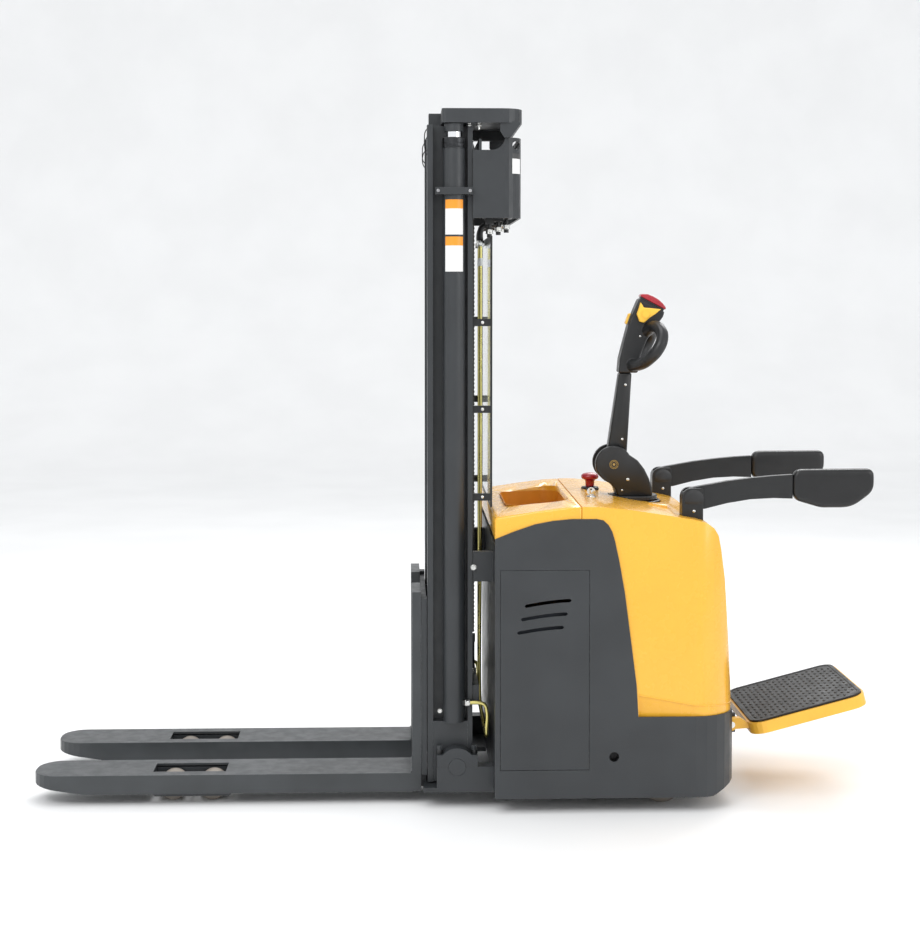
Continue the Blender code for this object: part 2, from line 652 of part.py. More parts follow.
def slot_outline(x, z):
    """Slot with round ends that rises and curves slightly towards the rear."""
    length, rise, half = 0.130, 0.016, 0.005
    steps = 6
    centre = [(x + length * i / steps, z + rise * (1 - (1 - i / steps) ** 1.5))
              for i in range(steps + 1)]
    lower = [(u, v - half) for u, v in centre]
    upper = [(u, v + half) for u, v in reversed(centre)]
    return [*lower, (centre[-1][0] + half, centre[-1][1]), *upper,
            (centre[0][0] - half, centre[0][1])]


def access_door(name, side):
    clear = 0.0012
    outline = rectangle((DOOR_X[0] + clear, DOOR_X[1] - clear),
                        (DOOR_Z[0] + clear, DOOR_Z[1] - clear))
    slots = [slot_outline(x, z) for x, z in ((0.203, 0.622), (0.192, 0.582), (0.181, 0.542))]
    door = plate(outline, "XZ", side * (BODY_HALF_WIDTH - SHELL), side * BODY_HALF_WIDTH, slots)
    return node(door, f"access_door_{name}", "dark_paint")


def cover_profile(inset):
    top = [(BODY_FRONT + inset, 0.884 - inset), (0.230, 0.902 - inset), (0.320, 0.913 - inset),
           (SEAM_X, 0.9155 - inset)]
    return [(BODY_FRONT + inset, COVER_BOTTOM), *top, (SEAM_X, COVER_BOTTOM)]


def top_cover():
    """Front cover with a storage tray, open below."""
    half = BODY_HALF_WIDTH - SHELL - 0.0005
    cover = plate(cover_profile(0.0), "XZ", -half, half)
    hollow = plate([(BODY_FRONT + 0.004, 0.7), *cover_profile(0.004)[1:-2],
                    (SEAM_X - 0.004, 0.9115), (SEAM_X - 0.004, 0.7)], "XZ",
                   -half + 0.004, half - 0.004)
    tray_plan = rounded([(0.154, -0.190, 0.05), (0.350, -0.250, 0.05), (0.350, 0.225, 0.05),
                         (0.154, 0.165, 0.05)], 4)
    wall_plan = rounded([(0.150, -0.194, 0.054), (0.354, -0.254, 0.054), (0.354, 0.229, 0.054),
                         (0.150, 0.169, 0.054)], 4)
    tray = plate(tray_plan, "XY", 0.840, 1.0)
    hollow = cut(hollow, plate(wall_plan, "XY", 0.836, 1.1))
    return node(cut(cover, hollow, tray), "top_cover", "yellow")


def hood_profile(inset):
    """Side outline of the rear hood, from the seam over the top and down the sloping rear."""
    top = [(SEAM_X + GAP, 0.9155 - inset), (0.420, 0.9155 - inset), (0.520, 0.905 - inset),
           (0.640, 0.8865 - inset), (0.715, 0.873 - inset)]
    nose = [(0.743, 0.865), (0.765, 0.848), (0.779, 0.826), (0.788, 0.786)]
    rear = [(0.802, 0.695), (0.818, 0.500), (0.8352, 0.290), (0.8352, 0.262)]
    return [*top, *[(x - inset * 0.7, z - inset * 0.7) for x, z in nose],
            *[(x - inset, z) for x, z in rear]]


def hood_solid(inset, front, bottom):
    half = BODY_HALF_WIDTH - SHELL - 0.0005 - inset
    outline = hood_profile(inset)
    side = plate([(front, bottom), (front, outline[0][1]), *outline[:-1],
                  (outline[-1][0], bottom)], "XZ", -half, half)
    return keep_inside(side, plate(body_plan(SHELL + 0.0006 + inset, 0.2), "XY", 0.1, 1.1))


def rear_hood():
    hood = hood_solid(0.0, SEAM_X + GAP, 0.262)
    hollow = hood_solid(0.004, 0.3, 0.2)
    cutters = [hollow,
               rod(TURNTABLE_RADIUS + 0.0025, (DRIVE_X, 0, 0.8), (DRIVE_X, 0, 1.0), 32),
               rod(0.0105, (STOP_X, STOP_Y, 0.8), (STOP_X, STOP_Y, 1.0)),
               rod(0.0063, (KEY_X, KEY_Y, 0.8), (KEY_X, KEY_Y, 1.0), 16)]
    for _, side in SIDES:
        cutters.append(mirrored_box(side, (POST_X[0] - 0.0006, POST_X[1] + 0.0006),
                                    (POST_Y[0] - 0.0006, POST_Y[1] + 0.0006), (0.7, 1.0)))
    return node(cut(hood, *cutters), "rear_hood", "yellow")


def inner_equipment():
    battery = box((0.128, -0.380, 0.0685), (0.386, 0.100, 0.600), 0.006)
    node(battery, "battery_pack", "battery")
    tank = box((0.140, 0.112, 0.0685), (0.380, 0.375, 0.380), 0.006)
    motor = rod(0.055, (0.260, 0.245, 0.370), (0.260, 0.245, 0.600))
    valve = box((0.150, 0.130, 0.370), (0.200, 0.210, 0.440))
    node(join(tank, motor, valve), "hydraulic_power_unit", "battery")


# Controls
def emergency_stop():
    empty = pivot("emergency_stop_slide", (STOP_X, STOP_Y, 0.915))
    profile = [(0.0, 0.967), (0.020, 0.966), (0.0275, 0.961), (0.0285, 0.955), (0.026, 0.947),
               (0.018, 0.943), (0.0145, 0.938), (0.0135, 0.922), (0.010, 0.921), (0.010, 0.895),
               (0.0, 0.895)]
    node(turned(profile, "Z", (STOP_X, STOP_Y, 0.0), 24), "emergency_stop_button", "red", empty)


def key():
    empty = pivot("key_turn", (KEY_X, KEY_Y, 0.915))
    shank = rod(0.006, (KEY_X, KEY_Y, 0.890), (KEY_X, KEY_Y, 0.922), 16)
    bow = plate(arc((KEY_X, 0.932), 0.013, 0, 345, 15), "XZ", KEY_Y - 0.0015, KEY_Y + 0.0015)
    node(join(shank, bow), "ignition_key", "steel", empty)


def tiller_base(empty):
    """Pivot housing on the steering turntable, slotted for the tiller's root."""
    px, pz = PIVOT_X, PIVOT_Z
    side_view = [*arc((px, pz), 0.058, 30, 214, 12), (px - 0.030, pz - 0.051),
                 (px - 0.009, pz - 0.062), (px + 0.006, pz - 0.080), (px + 0.013, pz - 0.102),
                 (px + 0.124, pz - 0.102), (px + 0.121, pz - 0.073), (px + 0.112, pz - 0.045),
                 (px + 0.097, pz - 0.015), (px + 0.076, pz + 0.012)]
    housing = plate(side_view, "XZ", -0.052, 0.052)
    slot = box((px - 0.08, -0.0305, pz - 0.040), (px + 0.15, 0.0305, pz + 0.1))
    disc = rod(TURNTABLE_RADIUS, (DRIVE_X, 0, 0.8925), (DRIVE_X, 0, 0.907), 32)
    pin = disc_y(0.014, px, pz, (-0.045, 0.045))
    return node(join(cut(housing, slot), disc, pin), "tiller_base", "black_plastic", empty)


def drive_unit(empty):
    """Traction motor, slewing ring, gearbox and steering column, all turned by the tiller."""
    motor = rod(0.085, (DRIVE_X, 0, 0.340), (DRIVE_X, 0, 0.620))
    pieces = [rod(0.100, (DRIVE_X, 0, 0.295), (DRIVE_X, 0, 0.345), 32),
              rod(0.022, (DRIVE_X, 0, 0.610), (DRIVE_X, 0, 0.8922), 16),
              box((DRIVE_X - 0.065, -0.050, 0.245), (DRIVE_X + 0.065, 0.105, 0.2985), 0.006),
              box((DRIVE_X - 0.060, 0.043, 0.062), (DRIVE_X + 0.060, 0.100, 0.260), 0.010),
              disc_y(0.018, DRIVE_X, DRIVE_RADIUS, (-0.034, 0.060))]
    return node(join(motor, *pieces), "drive_unit", "steel", empty)


def drive_wheel(empty):
    spin = pivot("drive_wheel_pivot", (DRIVE_X, 0, DRIVE_RADIUS), empty)
    half = DRIVE_HALF_WIDTH
    profile = [(0.0184, half), (0.100, half), (DRIVE_RADIUS, half - 0.008),
               (DRIVE_RADIUS, 0.008 - half), (0.100, -half), (0.0184, -half), (0.0184, half)]
    node(turned(profile, "Y", (DRIVE_X, 0, DRIVE_RADIUS), 28), "drive_wheel", "wheel", spin)


def tiller(steer):
    empty = pivot("tiller_pivot", (PIVOT_X, 0, PIVOT_Z), steer)
    arm = plate([(0.486, 1.030), (0.525, 1.2950), (0.565, 1.2950), (0.550, 1.030)], "XZ",
                -0.027, 0.027)
    root = disc_y(0.036, PIVOT_X, PIVOT_Z, (-0.027, 0.027))
    bore = disc_y(0.0143, PIVOT_X, PIVOT_Z, (-0.05, 0.05))
    node(cut(join(arm, root), bore), "tiller_arm", "black_paint", empty)
    tiller_head(empty)


HEAD_TOP = ((0.5875, 1.532), (0.668, 1.489))
HEAD_FRONT = ((0.553, 1.4466), (0.5665, 1.483))
SWITCH = (0.606, 1.478)


def along(line, t, off):
    """Point at a fraction along a line, moved off it to the line's left."""
    a, b = Vector(line[0]), Vector(line[1])
    d = (b - a).normalized()
    return tuple(a.lerp(b, t) + Vector((-d.y, d.x)) * off)


def tiller_head(empty):
    body = plate([(0.522, 1.2955), (0.5257, 1.340), (0.5378, 1.389), *HEAD_FRONT, *HEAD_TOP,
                  (0.663, 1.473), (0.640, 1.440), (0.612, 1.400), (0.592, 1.350),
                  (0.5836, 1.2955)], "XZ", -0.034, 0.034)
    bore = disc_y(0.0083, *SWITCH, (-0.05, 0.05), 16)
    loops = []
    for _, side in SIDES:
        route = [(0.614, 0.028, 1.428), (0.630, 0.060, 1.443), (0.643, 0.098, 1.434),
                 (0.646, 0.128, 1.408), (0.633, 0.138, 1.376), (0.608, 0.122, 1.344),
                 (0.583, 0.075, 1.324), (0.566, 0.028, 1.320)]
        loops.append(tube(smooth_path([(x, side * y, z) for x, y, z in route], 3), 0.019, 2))
    node(join(cut(body, bore), *loops), "tiller_head", "black_plastic", empty)

    button_slide = pivot("belly_button_slide", (0.628, 0, 1.515), empty)
    button = plate([along(HEAD_TOP, 0.0, 0.0065), along(HEAD_TOP, 1.0, 0.0065),
                    along(HEAD_TOP, 0.98, 0.016), along(HEAD_TOP, 0.6, 0.026),
                    along(HEAD_TOP, 0.25, 0.025), along(HEAD_TOP, 0.02, 0.017)], "XZ",
                   -0.028, 0.028)
    node(button, "belly_button", "red", button_slide)

    lift_slide = pivot("lift_button_slide", (0.556, 0, 1.464), empty)
    lift_button = plate([along(HEAD_FRONT, 0.0, 0.0035), along(HEAD_FRONT, 1.0, 0.0035),
                         along(HEAD_FRONT, 0.9, 0.0095), along(HEAD_FRONT, 0.1, 0.0095)], "XZ",
                        -0.016, 0.016)
    node(lift_button, "lift_button", "yellow", lift_slide)

    switch_pivot = pivot("thumb_switch_pivot", (SWITCH[0], 0, SWITCH[1]), empty)
    x, z = SWITCH
    wing = [(x - 0.0165, z + 0.0415), (x - 0.006, z + 0.024), (x + 0.012, z + 0.023),
            (x + 0.048, z + 0.019), (x + 0.030, z + 0.004), (x + 0.012, z - 0.008),
            (x - 0.006, z - 0.024), (x - 0.020, z - 0.020), (x - 0.029, z + 0.004),
            (x - 0.023, z + 0.020)]
    wings = [plate(wing, "XZ", side * 0.0345, side * 0.050) for _, side in SIDES]
    shaft = disc_y(0.008, x, z, (-0.040, 0.040), 16)
    node(join(shaft, *wings), "thumb_switch", "yellow", switch_pivot)


# Operator's station
def guard_arm(name, side):
    """Folding side arm with its pad, in a post that stands on the drive plate."""
    post_view = rounded([(POST_X[0], 0.3105, 0), (POST_X[1], 0.3105, 0), (POST_X[1], 0.962, 0.006),
                         (POST_X[0], 0.962, 0.028)], 5)
    post = plate(post_view, "XZ", side * POST_Y[0], side * POST_Y[1])
    slot = mirrored_box(side, (POST_X[0] + 0.007, 0.8), (0.2970, 0.3230), (0.888, 1.0))
    pin = disc_y(0.012, ARM_X, ARM_Z, (side * 0.290, side * 0.330), 16)
    node(join(cut(post, slot), pin), f"arm_post_{name}", "black_paint")

    empty = pivot(f"guard_arm_{name}_pivot", (ARM_X, side * 0.310, ARM_Z))
    arm_view = [(0.690, 0.902), (0.747, 0.898), (0.815, 0.915), (0.886, 0.9265), (0.955, 0.930),
                (PAD_X[0] - GAP, 0.928), (PAD_X[0] - GAP, 1.001), (0.955, 0.9975), (0.886, 0.991),
                (0.815, 0.982), (0.747, 0.970), (0.725, 0.966), (0.700, 0.960),
                (0.693, 0.950)]
    arm = plate(arm_view, "XZ", side * 0.2980, side * 0.3220)
    bore = disc_y(0.0123, ARM_X, ARM_Z, (side * 0.2, side * 0.4), 16)
    node(cut(arm, bore), f"guard_arm_{name}", "black_paint", empty)
    pad_view = rounded([(PAD_X[0], 0.925, 0.03), (PAD_X[0] + 0.100, 0.900, 0.06),
                        (PAD_X[0] + 0.180, 0.900, 0.06), (PAD_X[1], 0.950, 0.05),
                        (PAD_X[1], 1.018, 0.02), (PAD_X[0], 1.016, 0.025)], 4)
    node(plate(pad_view, "XZ", side * 0.290, side * 0.330), f"arm_pad_{name}", "rubber", empty)


def platform():
    """Folding operator platform: a hollow frame on two hinge arms, with a rubber mat."""
    empty = pivot("platform_pivot", (PLATFORM_X, 0, PLATFORM_Z))
    turn = Matrix.Rotation(-PLATFORM_TILT, 4, "Y")
    half = PLATFORM_HALF_WIDTH

    def plan(inset):
        return rounded([(0.050 + inset, -half + inset, 0.05 - inset),
                        (0.4247 - inset, -half + inset, 0.05 - inset),
                        (0.4247 - inset, half - inset, 0.05 - inset),
                        (0.050 + inset, half - inset, 0.05 - inset)], 5)

    frame = plate(plan(0.0), "XY", -0.040, -0.004)
    hollow = plate(plan(0.012), "XY", -0.06, -0.010)
    arms = []
    for _, side in SIDES:
        arm = plate([*arc((0.0, 0.0), 0.020, 60, 300, 8), (0.085, -0.032), (0.085, -0.006),
                     (0.048, -0.006), (0.030, 0.014)], "XZ", side * 0.1530, side * 0.1760)
        arms.append(arm)
    bores = disc_y(0.0083, 0.0, 0.0, (-0.3, 0.3), 16)
    frame = cut(join(cut(frame, hollow), *arms), bores)
    mat = plate(plan(0.007), "XY", -0.0037, 0.0025)
    for piece, name, finish in ((frame, "platform_frame", "yellow"),
                                (mat, "platform_mat", "rubber")):
        node(piece, name, finish)
        piece.matrix_world = Matrix.Translation(PLACES[empty.name]) @ turn @ piece.matrix_basis
        for modifier in piece.modifiers:
            tilt_helpers(modifier.object, turn, PLACES[empty.name])
        piece.parent = empty
        piece.matrix_parent_inverse = Matrix.Translation(-PLACES[empty.name])


def tilt_helpers(obj, turn, place):
    """Turns a cutter or joined piece, and those it uses, with the platform."""
    obj.matrix_world = Matrix.Translation(place) @ turn @ obj.matrix_basis
    for modifier in obj.modifiers:
        if modifier.type == "BOOLEAN":
            tilt_helpers(modifier.object, turn, place)


def build():
    chassis_frame()
    body_shell()
    top_cover()
    rear_hood()
    inner_equipment()
    outer_crossbeam()
    outer_top_cover()
    hydraulic_pipes()
    screen()
    inner = pivot("inner_mast_slide", (0, 0, 0))
    inner_mast_frame(inner)
    inner_crosshead(inner)
    carriage = pivot("carriage_slide", (0, 0, 0), inner)
    carriage_frame(carriage)
    for name, side in SIDES:
        support_leg(name, side)
        load_bogie(name, side)
        caster(name, side)
        outer_upright(name, side)
        lift_cylinder(name, side)
        piston = rod(ROD_RADIUS, (CYLINDER_X, side * CYLINDER_Y, 0.500),
                     (CYLINDER_X, side * CYLINDER_Y, CROSSHEAD_BOTTOM - GAP))
        node(piston, f"piston_rod_{name}", "chrome", inner)
        chain_pulley(name, side, inner)
        lift_chain(name, side, inner)
        fork(name, side, carriage)
        access_door(name, side)
        guard_arm(name, side)
    steer = pivot("steering_axis", (DRIVE_X, 0, 0.9))
    tiller_base(steer)
    drive_unit(steer)
    drive_wheel(steer)
    tiller(steer)
    emergency_stop()
    key()
    platform()


clear_scene()
PARTS = new_collection("electric_stacker")
HELPERS = new_collection("cutters")
PLACES = {}
MATERIALS = {
    "dark_paint": material("dark_paint", (0.048, 0.052, 0.056), 0.45),
    "black_paint": material("black_paint", (0.012, 0.012, 0.013), 0.40),
    "black_plastic": material("black_plastic", (0.018, 0.019, 0.021), 0.50),
    "yellow": material("yellow", (0.90, 0.47, 0.05), 0.35),
    "steel": material("steel", (0.30, 0.30, 0.31), 0.40, 1.0),
    "chrome": material("chrome", (0.80, 0.80, 0.82), 0.10, 1.0),
    "brass": material("brass", (0.55, 0.50, 0.20), 0.30, 1.0),
    "chain": material("chain", (0.06, 0.06, 0.06), 0.45, 0.8),
    "wheel": material("wheel", (0.16, 0.15, 0.14), 0.55),
    "rubber": material("rubber", (0.010, 0.010, 0.010), 0.70),
    "red": material("red", (0.45, 0.01, 0.02), 0.35),
    "battery": material("battery", (0.05, 0.06, 0.08), 0.60),
    "clear": material("clear", (0.90, 0.93, 0.95), 0.10),
}
build()
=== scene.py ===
"""Looks of the stand-on electric stacker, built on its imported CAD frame.

Metres, +Z up. Fork tips point to -X and the operator stands at +X; left is -Y, the camera's side.
"""
import math

import bmesh
import bpy
from mathutils import Matrix, Vector


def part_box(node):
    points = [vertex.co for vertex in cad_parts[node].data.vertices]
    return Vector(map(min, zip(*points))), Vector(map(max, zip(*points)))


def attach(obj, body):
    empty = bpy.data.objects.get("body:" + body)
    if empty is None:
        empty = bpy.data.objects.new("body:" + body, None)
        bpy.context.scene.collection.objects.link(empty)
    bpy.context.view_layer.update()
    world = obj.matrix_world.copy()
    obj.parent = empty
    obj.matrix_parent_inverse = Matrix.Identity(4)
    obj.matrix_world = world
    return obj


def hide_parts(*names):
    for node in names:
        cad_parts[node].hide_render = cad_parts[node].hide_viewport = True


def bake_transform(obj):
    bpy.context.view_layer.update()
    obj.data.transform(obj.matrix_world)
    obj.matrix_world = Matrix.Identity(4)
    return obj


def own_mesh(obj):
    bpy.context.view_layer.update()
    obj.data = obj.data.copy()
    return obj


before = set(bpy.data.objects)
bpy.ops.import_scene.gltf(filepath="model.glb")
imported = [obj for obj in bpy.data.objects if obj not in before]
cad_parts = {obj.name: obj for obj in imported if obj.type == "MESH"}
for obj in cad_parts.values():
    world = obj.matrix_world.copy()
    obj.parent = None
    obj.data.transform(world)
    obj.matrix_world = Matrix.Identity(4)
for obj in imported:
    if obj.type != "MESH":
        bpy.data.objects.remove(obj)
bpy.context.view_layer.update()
SIDES = (("left", -1), ("right", 1))


# Camera, stage and light
def set_camera():
    """Camera at eye height on the machine's left, tipped down a little, with its frame shifted down."""
    camera = bpy.data.objects.new("camera", bpy.data.cameras.new("camera"))
    bpy.context.scene.collection.objects.link(camera)
    camera.location = (-0.169, -5.515, 1.542)
    camera.rotation_euler = (math.radians(87.5), 0, math.radians(-1.975))
    camera.data.lens = 66.4
    camera.data.shift_y = -0.107
    bpy.context.scene.camera = camera


def set_stage():
    """Wide pale floor that sweeps up behind the machine."""
    bend = [(9.0 + u, 4.0 + v) for u, v in arc((0, 0), 4.0, -90, 0, 16)]
    bm = bmesh.new()
    rows = [[bm.verts.new((x, y, z - 0.0005)) for x in (-60, 60)]
            for y, z in [(-60.0, 0.0), (8.0, 0.0), *bend, (13.0, 30.0)]]
    for a, b in zip(rows, rows[1:]):
        bm.faces.new((a[0], a[1], b[1], b[0]))
    floor = from_bmesh(bm, "studio_floor")
    floor.data.shade_smooth()
    floor.data.materials.append(studio_paint())


def area_light(name, place, aim, size, power):
    light = bpy.data.objects.new(name, bpy.data.lights.new(name, "AREA"))
    light.data.shape = "RECTANGLE"
    light.data.size, light.data.size_y = size
    light.data.energy = power
    light.location = place
    light.rotation_euler = (Vector(aim) - Vector(place)).to_track_quat("-Z", "Y").to_euler()
    bpy.context.scene.collection.objects.link(light)


def set_lights():
    world = bpy.data.worlds.new("studio")
    world.use_nodes = True
    background = world.node_tree.nodes["Background"]
    background.inputs["Color"].default_value = (0.97, 0.985, 1.0, 1.0)
    background.inputs["Strength"].default_value = 1.05
    bpy.context.scene.world = world
    area_light("key_light", (-2.6, -4.2, 4.6), (0, 0, 1.0), (2.6, 2.0), 105)
    area_light("fill_light", (4.4, -3.6, 2.6), (0.3, 0, 0.8), (2.2, 2.6), 55)
    area_light("rim_light", (2.0, 3.6, 4.2), (0, 0, 1.2), (3.0, 1.6), 110)
    area_light("top_light", (-0.4, 0.0, 5.4), (0, 0, 0), (3.2, 2.4), 60)
    bpy.context.scene.view_settings.view_transform = "Standard"


# Shape helpers
def from_bmesh(bm, name):
    mesh = bpy.data.meshes.new(name)
    bm.to_mesh(mesh)
    bm.free()
    obj = bpy.data.objects.new(name, mesh)
    bpy.context.scene.collection.objects.link(obj)
    return obj


def drop(obj):
    bpy.data.objects.remove(obj, do_unlink=True)


def applied(obj):
    """The same object with its modifiers applied and its transform in its mesh."""
    bpy.context.view_layer.update()
    graph = bpy.context.evaluated_depsgraph_get()
    mesh = bpy.data.meshes.new_from_object(obj.evaluated_get(graph))
    mesh.transform(obj.matrix_world)
    made = bpy.data.objects.new(obj.name, mesh)
    bpy.context.scene.collection.objects.link(made)
    name = obj.name
    drop(obj)
    made.name = name
    return made


def outward(obj):
    """Welds a mesh and turns its faces out."""
    bm = bmesh.new()
    bm.from_mesh(obj.data)
    bmesh.ops.remove_doubles(bm, verts=bm.verts, dist=0.00001)
    bmesh.ops.recalc_face_normals(bm, faces=bm.faces)
    if bm.calc_volume(signed=True) < 0:
        bmesh.ops.reverse_faces(bm, faces=bm.faces)
    bm.to_mesh(obj.data)
    bm.free()
    return obj


def bevelled(obj, width, segments=3, angle=32):
    bevel = obj.modifiers.new("Bevel", "BEVEL")
    bevel.width = width
    bevel.segments = segments
    bevel.limit_method = "ANGLE"
    bevel.angle_limit = math.radians(angle)
    bevel.harden_normals = True
    return obj


def joined(name, *objs):
    """One mesh object from several, each with its modifiers applied."""
    bm = bmesh.new()
    for obj in objs:
        obj = applied(obj)
        bm.from_mesh(obj.data)
        drop(obj)
    return from_bmesh(bm, name)


def combined(obj, others, operation, solver="EXACT"):
    for other in others:
        modifier = obj.modifiers.new(operation.title(), "BOOLEAN")
        modifier.operation = operation
        modifier.solver = solver
        modifier.object = other
    name = obj.name
    made = applied(obj)
    made.name = name
    for other in others:
        drop(other)
    return made


def cut(obj, *others):
    return combined(obj, others, "DIFFERENCE")


PLANES = {
    "XY": ((0.0, 0.0, 0.0), 2),
    "XZ": ((math.pi / 2, 0.0, 0.0), 1),
    "YZ": ((math.pi / 2, 0.0, math.pi / 2), 0),
}


def plate(outline, plane, low, high, holes=()):
    """Flat outline in a plane, thickened from low to high along the plane's normal."""
    curve = bpy.data.curves.new("plate", "CURVE")
    curve.dimensions = "2D"
    curve.fill_mode = "BOTH"
    curve.extrude = abs(high - low) / 2
    for loop in (outline, *holes):
        spline = curve.splines.new("POLY")
        spline.points.add(len(loop) - 1)
        for point, (u, v) in zip(spline.points, loop):
            point.co = (u, v, 0.0, 1.0)
        spline.use_cyclic_u = True
    obj = bpy.data.objects.new("plate", curve)
    bpy.context.scene.collection.objects.link(obj)
    turn, normal = PLANES[plane]
    obj.rotation_euler = turn
    obj.location[normal] = (low + high) / 2
    made = outward(applied(obj))
    bm = bmesh.new()
    bm.from_mesh(made.data)
    bmesh.ops.dissolve_limit(bm, angle_limit=0.01, verts=bm.verts, edges=bm.edges)
    bm.to_mesh(made.data)
    bm.free()
    return made


def block(x, y, z):
    """Box between three ranges."""
    return plate([(x[0], min(y)), (x[1], min(y)), (x[1], max(y)), (x[0], max(y))], "XY", *z)


AXIS_TURN = {"X": (0.0, math.pi / 2, 0.0), "Y": (-math.pi / 2, 0.0, 0.0), "Z": (0.0, 0.0, 0.0)}


def turned(profile, axis, place, steps=48, name="turned"):
    """Profile of (radius, height) points spun round an axis through a place."""
    bm = bmesh.new()
    verts = [bm.verts.new((r, 0.0, h)) for r, h in profile]
    edges = [bm.edges.new(pair) for pair in zip(verts, verts[1:])]
    bmesh.ops.spin(bm, geom=[*verts, *edges], cent=(0, 0, 0), axis=(0, 0, 1), dvec=(0, 0, 0),
                   angle=2 * math.pi, steps=steps)
    bmesh.ops.remove_doubles(bm, verts=bm.verts, dist=0.00001)
    bmesh.ops.recalc_face_normals(bm, faces=bm.faces)
    obj = from_bmesh(bm, name)
    obj.data.transform(Matrix.Translation(place) @ euler(AXIS_TURN[axis]))
    return obj


def bar(radius, low, high, axis, place, steps=48):
    """Plain round bar along an axis, from low to high."""
    return turned([(0, low), (radius, low), (radius, high), (0, high)], axis, place, steps)


def euler(angles):
    turn = Matrix.Identity(4)
    for angle, axis in zip(angles, "XYZ"):
        turn = Matrix.Rotation(angle, 4, axis) @ turn
    return turn


def tube(points, radius, cyclic=False, resolution=5, smooth=True):
    """Round bar through points, on a smooth or a straight-run curve."""
    curve = bpy.data.curves.new("tube", "CURVE")
    curve.dimensions = "3D"
    curve.bevel_depth = radius
    curve.bevel_resolution = resolution
    curve.use_fill_caps = True
    spline = curve.splines.new("BEZIER" if smooth else "POLY")
    knots = spline.bezier_points if smooth else spline.points
    knots.add(len(points) - 1)
    for knot, place in zip(knots, points):
        knot.co = place if smooth else (*place, 1.0)
        if smooth:
            knot.handle_left_type = knot.handle_right_type = "AUTO"
    spline.use_cyclic_u = cyclic
    obj = bpy.data.objects.new("tube", curve)
    bpy.context.scene.collection.objects.link(obj)
    return outward(applied(obj))


def arc(centre, radius, start, end, steps=12):
    """Points on an arc, with its angles in degrees from the first axis."""
    angles = [math.radians(start + (end - start) * i / steps) for i in range(steps + 1)]
    return [(centre[0] + radius * math.cos(a), centre[1] + radius * math.sin(a)) for a in angles]


def rounded(corners, steps=8):
    """Outline of (u, v, radius) corners, with each corner rounded to its radius."""
    outline = []
    for i, (u, v, radius) in enumerate(corners):
        here = Vector((u, v))
        before = (Vector(corners[i - 1][:2]) - here).normalized()
        after = (Vector(corners[(i + 1) % len(corners)][:2]) - here).normalized()
        if not radius:
            outline.append((u, v))
            continue
        half = before.angle(after) / 2
        centre = here + (before + after).normalized() * radius / math.sin(half)
        reach = radius / math.tan(half)
        first, last = here + before * reach - centre, here + after * reach - centre
        turn = first.angle_signed(last)
        for k in range(steps + 1):
            spoke = first.copy()
            spoke.rotate(Matrix.Rotation(-turn * k / steps, 2))
            outline.append(tuple(centre + spoke))
    return outline


def hexagon(across):
    radius = across / math.sqrt(3)
    return arc((0, 0), radius, 0, 300, 5)


def placed(obj, place, axis="Z", flip=False):
    """Turns a shape built along +Z to an axis, and moves it to a place."""
    turn = {"Z": Matrix.Identity(4), "X": Matrix.Rotation(math.pi / 2, 4, "Y"),
            "Y": Matrix.Rotation(math.pi / 2, 4, "X")}[axis]
    if flip:
        turn = turn @ Matrix.Rotation(math.pi, 4, "X")
    obj.data.transform(Matrix.Translation(place) @ turn)
    return obj


def piece(obj, name, body, material, replaces=(), smooth=35):
    """Names a finished piece, gives it its material, and hangs it on its CAD body, if it has one."""
    obj.name = name
    obj.data.name = name
    obj.data.materials.clear()
    obj.data.materials.append(material)
    if obj.type == "MESH":
        obj.data.shade_smooth()
        obj.data.set_sharp_from_angle(angle=math.radians(smooth))
    if body:
        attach(obj, body)
    if replaces:
        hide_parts(*replaces)
    return obj


# Materials
def new_material(name):
    material = bpy.data.materials.new(name)
    material.use_nodes = True
    nodes, links = material.node_tree.nodes, material.node_tree.links
    return material, nodes, links, nodes["Principled BSDF"]


def noise(nodes, links, scale, detail=3.0, stretch=None):
    """Noise over the piece's own coordinates, which are metres in the shared frame."""
    place = nodes.new("ShaderNodeTexCoord")
    made = nodes.new("ShaderNodeTexNoise")
    made.inputs["Scale"].default_value = scale
    made.inputs["Detail"].default_value = detail
    source = place.outputs["Object"]
    if stretch:
        mapping = nodes.new("ShaderNodeMapping")
        mapping.inputs["Scale"].default_value = stretch
        links.new(source, mapping.inputs["Vector"])
        source = mapping.outputs["Vector"]
    links.new(source, made.inputs["Vector"])
    return made.outputs["Fac"]


def ranged(nodes, links, value, low, high, start=0.35, end=0.65):
    made = nodes.new("ShaderNodeMapRange")
    made.inputs["From Min"].default_value = start
    made.inputs["From Max"].default_value = end
    made.inputs["To Min"].default_value = low
    made.inputs["To Max"].default_value = high
    links.new(value, made.inputs["Value"])
    return made.outputs["Result"]


def mixed(nodes, links, factor, a, b):
    """Colour between two, each a colour or an output."""
    made = nodes.new("ShaderNodeMix")
    made.data_type = "RGBA"
    links.new(factor, made.inputs["Factor"])
    for socket, value in ((made.inputs[6], a), (made.inputs[7], b)):
        if isinstance(value, tuple):
            socket.default_value = (*value, 1.0)
        else:
            links.new(value, socket)
    return made.outputs[2]


def times(nodes, links, a, b):
    made = nodes.new("ShaderNodeMath")
    made.operation = "MULTIPLY"
    links.new(a, made.inputs[0])
    links.new(b, made.inputs[1])
    return made.outputs["Value"]


def bumped(nodes, links, shader, height, strength, distance):
    bump = nodes.new("ShaderNodeBump")
    bump.inputs["Strength"].default_value = strength
    bump.inputs["Distance"].default_value = distance
    links.new(height, bump.inputs["Height"])
    links.new(bump.outputs["Normal"], shader.inputs["Normal"])


def scaled(color, factor):
    return tuple(min(1.0, c * factor) for c in color)


